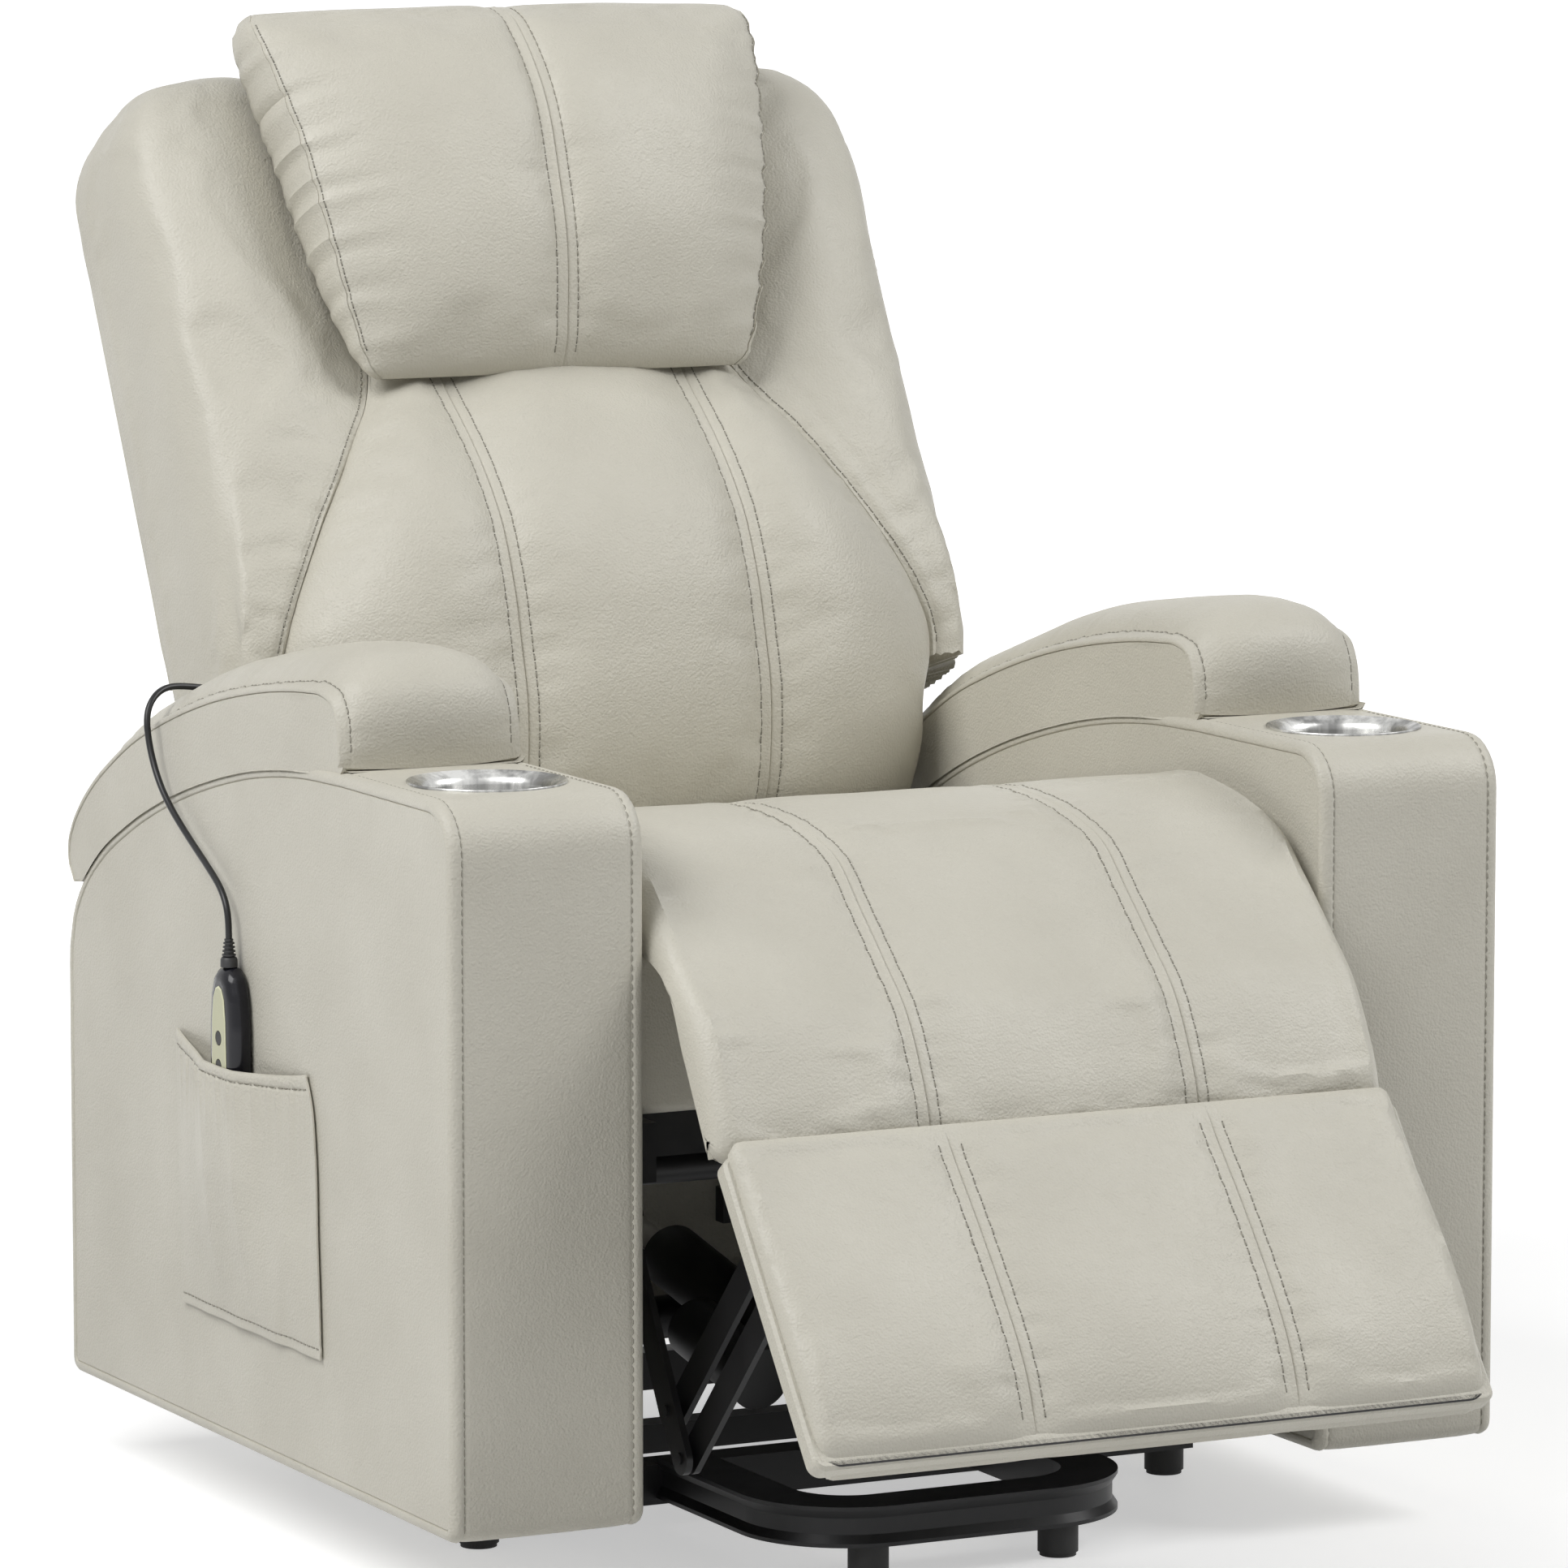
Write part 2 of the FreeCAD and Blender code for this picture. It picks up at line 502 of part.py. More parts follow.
def seat_frame():
    top = "seat_bottom - webbing_thick"
    rail = box("seat_rail", ("inner_x - rail_wide", "rail_start", "%s - rail_tall" % top),
               ("rail_wide", "rail_end - rail_start", "rail_tall"))
    node(both_sides("seat_side_rails", rail), "seat_side_rails")
    inside = "(inner_x - rail_wide)"
    rails = []
    for name, y in (("front_rail", "front_rail_y"), ("mid_rail", "mid_rail_y"), ("rear_rail", "rear_rail_y")):
        rails.append(box(name, ("-" + inside, y, "%s - cross_rail_tall" % top),
                         ("2 * " + inside, "cross_rail_wide", "cross_rail_tall")))
    node(group("seat_cross_rails", *rails), "seat_cross_rails")
    belts = []
    for index in range(int(mm("webbing_count"))):
        shift = index - (mm("webbing_count") - 1) / 2
        belts.append(box("belt%d" % index, ("%r * (webbing_wide + 38) - webbing_wide / 2" % shift,
                                            "front_rail_y", top),
                         ("webbing_wide", "rear_rail_y + cross_rail_wide - front_rail_y",
                          "webbing_thick")))
    node(group("seat_webbing", *belts), "seat_webbing")
    plate_top = "%s - 2" % top
    web = plate("lift_seat_web", [
        ("stab_seat_y - 32", plate_top), ("lift_seat_y + 40", plate_top),
        ("lift_seat_y + 20", "lift_seat_z"), ("lift_seat_y + 8", "lift_seat_z - 18"),
        ("lift_seat_y - 16", "lift_seat_z - 16"), ("stab_seat_y - 18", "stab_seat_z - 14")],
        "bracket_x", "lift_thick")
    lift_stud = rod("seat_lift_stud", "X", ("lift_arm_x - 2", "lift_seat_y", "lift_seat_z"),
                    "lift_pin", "bracket_x + 1 - lift_arm_x + 2")
    stab_stud = rod("seat_stab_stud", "X", ("stab_x - 2", "stab_seat_y", "stab_seat_z"),
                    "lift_pin", "bracket_x + 1 - stab_x + 2")
    node(both_sides("lift_seat_brackets", fuse("seat_bracket", web, lift_stud, stab_stud)),
         "lift_seat_brackets")


def seat_cushion():
    knee_y, knee_z, gap = mm("knee_y"), mm("knee_z"), mm("seat_nose_gap")
    top, rear, low = mm("seat_top"), mm("seat_rear"), mm("seat_bottom")

    def nose(angle):
        turn = math.radians(angle)
        return knee_y + gap * math.cos(turn), knee_z + gap * math.sin(turn)

    lip, middle, rise = nose(62), nose(31), nose(0)
    points = [
        (rear, low, 0, 0, "line"), (rear, top - 26, 0, 0, "line"),
        (rear - 7, top - 8, 0, 0.6, "via"), (rear - 26, top - 3, 0, 1, "line"),
        (300, top + 4, 0, 1, "via"), (110, top + 1, 0, 1, "line"),
        (58, top - 5, 0, 0.9, "via"), (lip[0], lip[1], 0, 0, "line"),
        (middle[0], middle[1], 0, 0, "via"), (rise[0], rise[1], 0, 0, "line"),
        (rise[0], low, 0, 0, "line")]
    form = channelled(points, mm("seat_half"), mm("channel_x"), mm("channel_deep"),
                      mm("seat_crown"), 10, chair_side)
    node(feature("seat_cushion", form), "seat_cushion")


def tangent_arc(start, heading, end):
    # the middle of the arc that leaves start at a heading below level and meets end, and its last heading
    across, drop = end[0] - start[0], start[1] - end[1]
    chord = math.atan2(drop, across)
    half_turn = chord - heading
    rise = math.hypot(across, drop) / 2 * math.tan(half_turn / 2)
    middle = (start[0] + across / 2 + rise * math.sin(chord), start[1] - drop / 2 + rise * math.cos(chord))
    return middle, chord + half_turn


def arm_outline():
    d, top, bend = mm("arm_depth"), mm("arm_top"), mm("arm_bend")
    low, rear_top = mm("arm_bottom"), mm("arm_rear_top")
    turn = bend * (1 - math.sqrt(0.5))
    level_end = (d * mm("arm_level_share"), top)
    shoulder = (d - mm("arm_shoulder"), top - 0.61 * (top - rear_top))
    slope, heading = tangent_arc(level_end, 0, shoulder)
    drop, _ = tangent_arc(shoulder, heading, (d, rear_top))
    return [
        (0, low, 0, 0, "line"), (0, top - bend, 0, 0, "line"), (turn, top - turn, 0, 0, "via"),
        (bend, top, 0, 0, "line"), (*level_end, 0, 0, "line"), (*slope, 0, 0, "via"),
        (*shoulder, 0, 0, "line"), (*drop, 0, 0, "via"), (d, rear_top, 0, 0, "line"), (d, low, 0, 0, "line")]


def arm_prism(x, width, grow):
    wire = side_wire(arm_outline(), x, 0, chair_side)
    if grow:
        wire = wire.makeOffset2D(grow)
    return Part.Face(wire).extrude(Vector(width, 0, 0))


def arms():
    outer, wide, wall = mm("overall_width") / 2, mm("arm_width"), mm("arm_wall")
    inner = outer - wide
    body = arm_prism(inner, wide, 0)
    rim = [e for e in body.Edges if e.BoundBox.XLength < 0.01
           and e.BoundBox.ZMax > mm("arm_bottom") + 0.1]
    body = body.makeFillet(mm("arm_edge"), rim)
    hollow = arm_prism(inner + wall, wide - 2 * wall, -mm("arm_top_wall"))
    below = Part.makeBox(wide - 2 * wall, mm("arm_depth") - 2 * mm("arm_top_wall"), 60,
                         Vector(inner + wall, depth(mm("arm_top_wall")), mm("arm_bottom") - 20))
    cup_x = outer - wide / 2
    hole = Part.makeCylinder(mm("cup_radius") + mm("cup_wall") + 0.2, 60,
                             Vector(cup_x, depth(mm("cup_centre")), mm("arm_top") - 50))
    left = feature("left_arm_body", body.cut([hollow, below, hole]))
    node(left, "left_arm_body")
    node(mirror("right_arm_body", left), "right_arm_body")


def arm_pads():
    start, end, crown = mm("pad_start"), mm("pad_end"), mm("pad_crown")
    low, rear_low, top = mm("arm_top") - 60, mm("pad_rear_low"), mm("arm_top")
    points = [
        (start + 6, low, 0, 0, "line"), (start, top + 4, -1, 0, "line"),
        (start + 4, top + 44, -0.9, 0.9, "via"), (start + 32, crown - 6, 0, 1, "line"),
        (start + 92, crown - 5, 0, 1, "via"), (start + 170, crown - 17, 0.2, 1, "line"),
        (start + 249, crown - 34, 0.25, 1, "via"), (start + 312, crown - 52, 0.33, 1, "line"),
        (end - 142, crown - 80, 0.4, 0.9, "via"), (end - 58, crown - 123, 0.5, 0.85, "line"),
        (end - 15, crown - 155, 0.8, 0.6, "via"), (end, crown - 182, 1, 0, "line"),
        (end - 19, rear_low, 0.8, 0, "line"), (end - 62, rear_low - 24, 0, 0, "line")]
    half = mm("arm_width") / 2 + mm("pad_overhang")
    centre = mm("overall_width") / 2 - mm("arm_width") / 2
    draw = mm("pad_draw")
    stations = [(-half, -draw - 8), (-half + 8, -draw), (-half + 34, -1), (0, 2), (half - 34, -1),
                (half - 8, -draw), (half, -draw - 8)]
    form = strip(points, [(centre + x, swell) for x, swell in stations], chair_side)
    seat = arm_prism(centre - half - 5, 2 * half + 10, 0)
    left = feature("left_arm_pad", solid_of(form.cut(seat)))
    node(left, "left_arm_pad")
    node(mirror("right_arm_pad", left), "right_arm_pad")


def cup_holders():
    centre = "half_width - arm_width / 2"
    spot = (centre, "cup_centre")
    well = rod("cup_well", "Z", spot + ("arm_top - cup_depth",), "cup_radius + cup_wall", "cup_depth")
    flange = rod("cup_rim", "Z", spot + ("arm_top",), "cup_flange", "cup_flange_thick")
    inside = rod("cup_inside", "Z", spot + ("arm_top - cup_depth + cup_wall",), "cup_radius",
                 "cup_depth + cup_flange_thick")
    left = cut("left_cup_holder", fuse("cup_solid", well, flange), inside)
    node(left, "left_cup_holder")
    node(mirror("right_cup_holder", left), "right_cup_holder")


def rear_parts():
    panel = box("rear_panel_sheet", ("-inner_x", "arm_depth - rear_panel_thick", "arm_bottom + 7"),
                ("2 * inner_x", "rear_panel_thick", "arm_rear_top - arm_bottom - 7"))
    slot = box("inlet_slot", ("inlet_x - inlet_wide / 2", "arm_depth - rear_panel_thick - 1",
                              "inlet_z - inlet_tall / 2"), ("inlet_wide", "rear_panel_thick + 2", "inlet_tall"))
    node(cut("rear_panel", panel, slot), "rear_panel")
    shell = box("inlet_shell", ("inlet_x - inlet_wide / 2", "arm_depth - rear_panel_thick - 14",
                                "inlet_z - inlet_tall / 2"),
                ("inlet_wide", "rear_panel_thick + 14", "inlet_tall"))
    socket = box("inlet_socket", ("inlet_x - inlet_wide / 2 + 9", "arm_depth - 14",
                                  "inlet_z - inlet_tall / 2 + 5"),
                 ("inlet_wide - 18", 20, "inlet_tall - 10"))
    node(cut("power_inlet", shell, socket), "power_inlet")
    case = box("control_case", ("inlet_x - control_long / 2", "rear_rail_y - 20",
                                "seat_bottom - webbing_thick - cross_rail_tall - control_tall"),
               ("control_long", "control_wide", "control_tall"))
    rounded = doc.addObject("Part::Fillet", "control_box")
    rounded.Base = case
    rounded.Edges = [(index, 6.0, 6.0) for index in (1, 3, 5, 7)]
    node(rounded, "control_box")


# the footrest and its linkage

def calf_pad():
    long, thick, ring = mm("calf_length"), mm("calf_thick"), mm("calf_round")
    rear = ring - thick
    turn = ring * math.sqrt(0.5)
    points = [
        (0, ring, 0, 1, "line"), (-turn, turn, -0.7, 0.7, "via"), (-ring, 0, -1, 0, "line"),
        (-18, rear + 7, 0, 0, "via"), (0, rear, 0, 0, "line"), (long, rear, 0, 0, "line"),
        (long, ring - 12, 0, 0, "line"), (long - 3, ring - 4, 0, 0.7, "via"),
        (long - 16, ring, 0, 1, "line"), (long / 2, ring + 4, 0, 1, "via")]
    frame = leaning(mm("knee_y"), mm("knee_z"), mm("calf_lean"))
    form = channelled(points, mm("seat_half"), mm("channel_x"), 6, mm("calf_crown"), 8, frame)
    node(feature("calf_pad", form), "calf_pad")


def footrest_panel():
    long, thick, pad = mm("board_length"), mm("board_thick"), mm("foot_pad_thick")
    frame = leaning(mm("board_y"), mm("board_z"), mm("board_lean"))
    half = mm("seat_half") - 4
    corner = frame(-half, 0, 0)
    along, out = frame(0, 1, 0) - frame(0, 0, 0), frame(0, 0, 1) - frame(0, 0, 0)
    board = Part.Face(Part.makePolygon([corner, corner + along * long, corner + along * long + out * thick,
                                        corner + out * thick, corner])).extrude(Vector(2 * half, 0, 0))
    upright = [e for e in board.Edges if abs(e.Length - thick) < 0.01]
    node(feature("footrest_board", board.makeFillet(14, upright)), "footrest_board")
    seat = thick
    face = thick + pad
    points = [
        (-0.4, seat, 0, 0, "line"), (-0.4, 3, 0, 0, "line"), (-20, 3, 0, 0, "line"),
        (-20, 18, 0, 0, "line"), (-3, face - 6, 0, 0.6, "line"), (long * 0.38, face + 2, 0, 1, "via"),
        (long * 0.9, face, 0, 1, "line"), (long - 1, face - 8, 0, 0.4, "via"),
        (long + 7, 5, 0, 0, "line"), (long + 7, 0.5, 0, 0, "line"),
        (long + 0.4, 0.5, 0, 0, "line"), (long + 0.4, seat, 0, 0, "line")]
    form = channelled(points, mm("seat_half"), mm("channel_x"), 6, mm("foot_crown"), 7, frame)
    calf = doc.getObject("calf_pad").Shape
    node(feature("footrest_pad", solid_of(form.cut(calf))), "footrest_pad")
    front = frame(0, 0, -0.0)
    reach = [frame(0, s, 0) - front for s in (6, 112)]
    near = [(mm("board_y") + step.y, mm("board_z") + step.z) for step in reach]
    (y1, z1), (y2, z2) = near
    rear_pin = ("board_pin_y + rear_joint_y - lower_joint_y", "board_pin_z + rear_joint_z - lower_joint_z")
    web = plate("foot_web", [
        (y1, z1), ("%s - 2" % rear_pin[0], "%s + 12" % rear_pin[1]),
        ("%s + 12" % rear_pin[0], "%s + 4" % rear_pin[1]), ("%s + 10" % rear_pin[0], "%s - 10" % rear_pin[1]),
        ("board_pin_y + 14", "board_pin_z - 16"), (y2, z2)],
        "foot_bracket_x", "link_thick")
    stud_reach = "front_link_x + link_thick + 1.5 - foot_bracket_x"
    studs = [rod("foot_stud%d" % n, "X", ("foot_bracket_x", y, z), "link_pin", stud_reach)
             for n, (y, z) in enumerate((("board_pin_y", "board_pin_z"), rear_pin))]
    node(both_sides("footrest_brackets", fuse("foot_bracket", web, *studs)), "footrest_brackets")


PIVOT_Y = "(lower_joint_y + knee_y - board_pin_y)"
PIVOT_Z = "(lower_joint_z + knee_z - board_pin_z)"


def footrest_linkage():
    loose = "link_pin + running_play"
    web = plate("seat_plate_web", [
        ("%s - 40" % PIVOT_Y, "seat_bottom - 9"), ("%s + 46" % PIVOT_Y, "seat_bottom - 9"),
        ("%s + 16" % PIVOT_Y, "%s - 8" % PIVOT_Z), ("%s + 6" % PIVOT_Y, "%s - 16" % PIVOT_Z),
        ("%s - 8" % PIVOT_Y, "%s - 16" % PIVOT_Z), ("%s - 17" % PIVOT_Y, "%s - 6" % PIVOT_Z)],
        "seat_plate_x", "link_thick")
    spacer = box("plate_spacer", ("seat_plate_x + link_thick", "%s - 38" % PIVOT_Y, "seat_bottom - 37"),
                 ("plate_spacer_long", 76, 26))
    stud = rod("plate_stud", "X", ("rear_link_x - 1", PIVOT_Y, PIVOT_Z), "link_pin",
               "seat_plate_x + 1 - rear_link_x + 1")
    node(both_sides("footrest_seat_plates", fuse("seat_plate", web, spacer, stud)),
         "footrest_seat_plates")
    pivot = (PIVOT_Y, PIVOT_Z)
    links = []
    for name, joint in (("long", ("lower_joint_y", "lower_joint_z")),
                        ("short", ("rear_joint_y", "rear_joint_z"))):
        links.append(bar("rear_link_" + name, pivot, joint, "link_wide", "rear_link_x", "link_thick",
                         loose, loose))
    hole = rod("rear_joint_hole", "X", ("rear_link_x - 1", "rear_joint_y", "rear_joint_z"), loose,
               "link_thick + 2")
    node(both_sides("footrest_rear_links", cut("rear_link_pair", fuse("rear_link_bars", *links), hole)),
         "footrest_rear_links")
    tube = rod("drive_outer", "X", ("-rear_link_x", PIVOT_Y, PIVOT_Z), "drive_tube", "2 * rear_link_x")
    bore = rod("drive_bore", "X", ("-rear_link_x - 1", PIVOT_Y, PIVOT_Z), "drive_tube - 3",
               "2 * rear_link_x + 2")
    pin_y = "%s + sin(lever_rest) * drive_lever" % PIVOT_Y
    pin_z = "%s - cos(lever_rest) * drive_lever" % PIVOT_Z
    lever = bar("drive_lever_plate", pivot, (pin_y, pin_z), "link_wide", "drive_lever_x",
                "lever_thick", 1, 1)
    pin = rod("drive_pin", "X", ("drive_lever_x", pin_y, pin_z), "link_pin", "lever_thick + 19")
    node(cut("footrest_drive_tube", fuse("drive_solid", tube, lever, pin), bore), "footrest_drive_tube")
    for name, shift_y, shift_z in (("lower", "0", "0"),
                                   ("upper", "rear_joint_y - lower_joint_y", "rear_joint_z - lower_joint_z")):
        start = ("(lower_joint_y + %s)" % shift_y, "(lower_joint_z + %s)" % shift_z)
        end = ("(board_pin_y + %s)" % shift_y, "(board_pin_z + %s)" % shift_z)
        link = bar("front_link_" + name, start, end, "link_wide", "front_link_x", "link_thick",
                   "link_pin - 0.5", "link_pin + board_pin_play")
        rivet = rod("rivet_" + name, "X", ("front_link_x - 1.5",) + start, "link_pin",
                    "rear_link_x + link_thick + 1.5 - front_link_x + 1.5")
        label = "footrest_%s_links" % name
        node(both_sides(label, fuse("front_link_set_" + name, link, rivet)), label)


def rail_actuator(label, x, start, end, height, motor_y, hang, slot_range, slot_low):
    # a channel rail with a worm motor below it, hung under the cross rails
    rail = box(label + "_bar", (x, start, height), ("rail_actuator_wide", "%s - %s" % (end, start),
                                                    "rail_actuator_tall"))
    slot = box(label + "_slot", ("%s + 8" % x, slot_range[0], slot_low),
               ("rail_actuator_wide - 16", "%s - (%s)" % (slot_range[1], slot_range[0]), 13))
    under = "(seat_bottom - webbing_thick - cross_rail_tall)"
    hangers = []
    for number, y in enumerate(hang):
        foot = "%s + rail_actuator_tall" % height
        hangers.append(box("%s_hanger%d" % (label, number), ("%s + 8" % x, y, foot),
                           ("rail_actuator_wide - 16", 10, "%s - (%s)" % (under, foot))))
    node(cut(label + "_rail", fuse(label + "_frame", rail, *hangers), slot), label + "_rail")
    can = rod(label + "_motor_can", "Z", ("%s + rail_actuator_wide / 2" % x, motor_y, "%s - 52" % height),
              20, 52)
    node(can, label + "_motor")


def slider(label, x, y, block_range, block_low, web, gap):
    # the block that rides in a rail; its upright fork holds the pin of a lever
    block = box(label + "_block", ("%s + 8.3" % x, "%s - %s" % (y, block_range[0]), block_low),
                ("rail_actuator_wide - 16.6", "%s + %s" % block_range, 10.6))
    upright = box(label + "_fork", ("%s + 12" % x, "%s - fork_length / 2" % y, web[0]),
                  (8, "fork_length", "%s - (%s)" % (web[1], web[0])))
    slot = box(label + "_gap", ("%s + 11" % x, "%s - link_pin - fork_play" % y, gap[0]),
               (10, "2 * (link_pin + fork_play)", "%s - (%s)" % (gap[1], gap[0])))
    node(cut(label, fuse(label + "_solid", block, upright), slot), label)


def seat_actuators():
    pin_y = "(%s + sin(lever_rest) * drive_lever)" % PIVOT_Y
    x = "(drive_lever_x + lever_thick + 1)"
    rail_actuator("footrest_actuator", x, "foot_rail_start", "foot_rail_end", "foot_rail_z",
                  "foot_rail_end - 22", ("front_rail_y + 9", "mid_rail_y + 9"),
                  ("foot_rail_start + 8", "foot_rail_end - 8"), "foot_rail_z - 1")
    slider("footrest_slider", x, pin_y, ("slider_length / 2", "slider_length / 2"),
           "foot_rail_z + 0.8",
           ("foot_rail_z - 46", "foot_rail_z + 2"), ("foot_rail_z - 47", "foot_rail_z - 4"))
    x = "(-back_rail_x - rail_actuator_wide)"
    rail_actuator("recline_actuator", x, "back_rail_start", "back_rail_end", "back_rail_z",
                  "back_rail_start + 26", ("mid_rail_y + 9", "rear_rail_y + 9"),
                  ("rear_rail_y + 20", "back_rail_end + 1"), "back_rail_z + 10")
    slider("recline_slider", x, "back_pivot_y", ("(back_slider_length - 8)", "8"), "back_rail_z + 10.6",
           ("back_rail_z + 18", "back_pivot_z - back_lever + 26"),
           ("back_pivot_z - back_lever - 8", "back_pivot_z - back_lever + 27"))


# the reclining back

def back_shell():
    half, low_half, step = mm("back_half"), mm("back_low_half"), mm("back_step")
    high, low, corner = mm("back_high"), mm("shell_low"), mm("shell_corner")

    def tray(inset, start, end):
        side, foot, top = half - inset, low_half - inset, high - inset
        turn = corner * (1 - math.sqrt(0.5))
        outline = [(foot, low + inset), (foot, step + inset), (side, step + inset), (side, top - corner)]
        points = [back_side(x, up, start) for x, up in outline]
        mid = back_side(side - turn, top - turn, start)
        over = back_side(side - corner, top, start)
        other = [back_side(-x, up, start) for x, up in reversed(outline)]
        edges = [Part.LineSegment(a, b).toShape() for a, b in zip(points, points[1:])]
        edges.append(Part.Arc(points[-1], mid, over).toShape())
        over_left = back_side(-(side - corner), top, start)
        edges.append(Part.LineSegment(over, over_left).toShape())
        edges.append(Part.Arc(over_left, back_side(-(side - turn), top - turn, start), other[0]).toShape())
        edges += [Part.LineSegment(a, b).toShape() for a, b in zip(other, other[1:])]
        edges.append(Part.LineSegment(other[-1], points[0]).toShape())
        depth_vector = back_side(0, 0, end) - back_side(0, 0, start)
        return Part.Face(Part.Wire(edges)).extrude(depth_vector)

    rear, deep, wall = mm("shell_rear"), mm("shell_deep"), mm("shell_wall")
    shell = tray(0, rear, rear + deep).cut(tray(wall, rear + wall, rear + deep + 1))
    # slots that let the hinge plates and the recline lever out of the tray
    web, clear = mm("hinge_thick"), mm("shell_slot_play")
    slots = []
    for x in (-mm("frame_half"), mm("frame_half") - web):
        slots.append(back_bar(x - clear, x + web + clear, low - 1, mm("frame_low") + mm("hinge_high") + clear,
                              rear - 1, rear + deep + 1))
    lever = recline_lever_x()
    slots.append(back_bar(lever - clear, lever + web + clear, low - 1, mm("frame_low") + clear,
                          rear - 1, rear + deep + 1))
    node(feature("back_shell", shell.cut(slots)), "back_shell")


def back_bar(x1, x2, up1, up2, out1, out2):
    corner = back_side(x1, up1, out1)
    rise = back_side(0, 1, 0) - back_side(0, 0, 0)
    front = back_side(0, 0, 1) - back_side(0, 0, 0)
    base = Part.Face(Part.makePolygon([corner, corner + rise * (up2 - up1),
                                       corner + rise * (up2 - up1) + front * (out2 - out1),
                                       corner + front * (out2 - out1), corner]))
    return base.extrude(Vector(x2 - x1, 0, 0))


def recline_lever_x():
    return -(mm("back_rail_x") + 4)


def back_frame():
    tube, half = mm("frame_tube"), mm("frame_half")
    low, high = mm("frame_low"), mm("frame_high")
    near = mm("shell_rear") + mm("shell_wall")
    far = near + tube
    bars = []
    for start in (-half, half - tube):
        bars.append(back_bar(start, start + tube, low, high, near, far))
    for up in (low, 0.5 * (low + high), high - tube):
        bars.append(back_bar(-half + tube, half - tube, up, up + tube, near, far))
    high_end = low + mm("hinge_high")
    for start in (-half, half - mm("hinge_thick")):
        web = Part.makePolygon([back_side(start, up, out) for up, out in
                                ((-16, -8), (-16, 12), (high_end, far), (high_end, near), (18, -12), (-16, -8))])
        bars.append(Part.Face(web).extrude(Vector(mm("hinge_thick"), 0, 0)))
    frame = bars[0].fuse(bars[1:])
    lever_x, thick = recline_lever_x(), mm("hinge_thick")
    pivot = back_side(lever_x, 0, 0)
    pin = pivot + Vector(0, 0, -mm("back_lever"))
    grip = 12
    lever = Part.Face(Part.makePolygon([
        back_side(lever_x, low + 20, far), back_side(lever_x, low, near),
        pin + Vector(0, grip, -2), pin + Vector(0, grip - 4, -grip), pin + Vector(0, -grip + 4, -grip),
        pin + Vector(0, -grip, -2), back_side(lever_x, low - 6, far), back_side(lever_x, low + 20, far)
    ])).extrude(Vector(thick, 0, 0))
    stud = Part.makeCylinder(mm("link_pin"), thick + 20, pin - Vector(20, 0, 0), Vector(1, 0, 0))
    frame = frame.fuse([lever, stud])
    hole = Part.makeCylinder(mm("lift_pin") + mm("running_play"), 2 * half + 20,
                             back_side(-half - 10, 0, 0), Vector(1, 0, 0))
    node(feature("back_frame", frame.cut(hole)), "back_frame")


def back_hinges():
    pivot_y, pivot_z = "back_pivot_y", "back_pivot_z"
    top = "seat_bottom - webbing_thick"
    x = "frame_half + 1.5"
    web = plate("hinge_web", [
        ("%s - 60" % pivot_y, "%s - 20" % top), ("%s + 8" % pivot_y, "%s - 20" % top),
        ("%s + 14" % pivot_y, "%s + 4" % pivot_z), ("%s + 6" % pivot_y, "%s + 14" % pivot_z),
        ("%s - 8" % pivot_y, "%s + 14" % pivot_z), ("%s - 16" % pivot_y, "%s + 4" % pivot_z)],
        x, "hinge_thick")
    foot = box("hinge_foot", (x, "%s - 58" % pivot_y, "%s - 26" % top),
               ("inner_x - rail_wide - (%s)" % x, 60, 22))
    pin = rod("hinge_pin", "X", ("frame_half - hinge_thick - 1", pivot_y, pivot_z), "lift_pin",
              "hinge_thick + 9")
    node(both_sides("back_hinge_brackets", fuse("hinge_set", web, foot, pin)), "back_hinge_brackets")


def x_wire(up, points):
    # a closed section across the back at one height; "via" marks the middle of an arc
    spots = [(back_side(x, up, out), kind) for x, out, kind in points]
    edges = []
    index = 0
    while index < len(spots):
        here = spots[index][0]
        after, kind = spots[(index + 1) % len(spots)]
        if kind == "via":
            edges.append(Part.Arc(here, after, spots[(index + 2) % len(spots)][0]).toShape())
            index += 2
        else:
            edges.append(Part.LineSegment(here, after).toShape())
            index += 1
    return Part.Wire(edges)


def cushion_form(grow):
    channel, groove, lumbar = mm("back_channel"), 7, mm("lumbar")
    back = mm("shell_rear") + mm("shell_deep") - grow
    low = mm("back_low_half") + grow
    # height, half width, front at the channels, front at the outer edge
    stations = [(14, low - 14, lumbar - 60, 84), (48, low - 2, lumbar - 30, 124),
                (138, low - 1, lumbar, 148), (214, low - 4, lumbar + 7, 150),
                (285, low - 40, lumbar - 10, 146), (358, low - 94, lumbar - 47, 130),
                (470, low - 104, lumbar - 64, 118), (600, low - 104, lumbar - 74, 108),
                (640, low - 104, lumbar - 110, 74)]
    wires = []
    for up, half, face, edge in stations:
        face += grow
        edge += grow
        middle = (half + channel) / 2
        puff = min(10, (face - edge) * 0.2 + 5)
        half_face = (face + edge) / 2 + puff
        wires.append(x_wire(up, [
            (-half, back, "line"), (-half, edge - 22, "line"), (-half + 4, edge - 6, "via"),
            (-half + 16, edge, "line"), (-middle, half_face, "via"), (-channel, face - groove, "line"),
            (0, face + 7, "via"), (channel, face - groove, "line"), (middle, half_face, "via"),
            (half - 16, edge, "line"), (half - 4, edge - 6, "via"), (half, edge - 22, "line"),
            (half, back, "line")]))
    return Part.makeLoft(wires, True, False)


def back_cushion():
    node(feature("back_cushion", cushion_form(0)), "back_cushion")


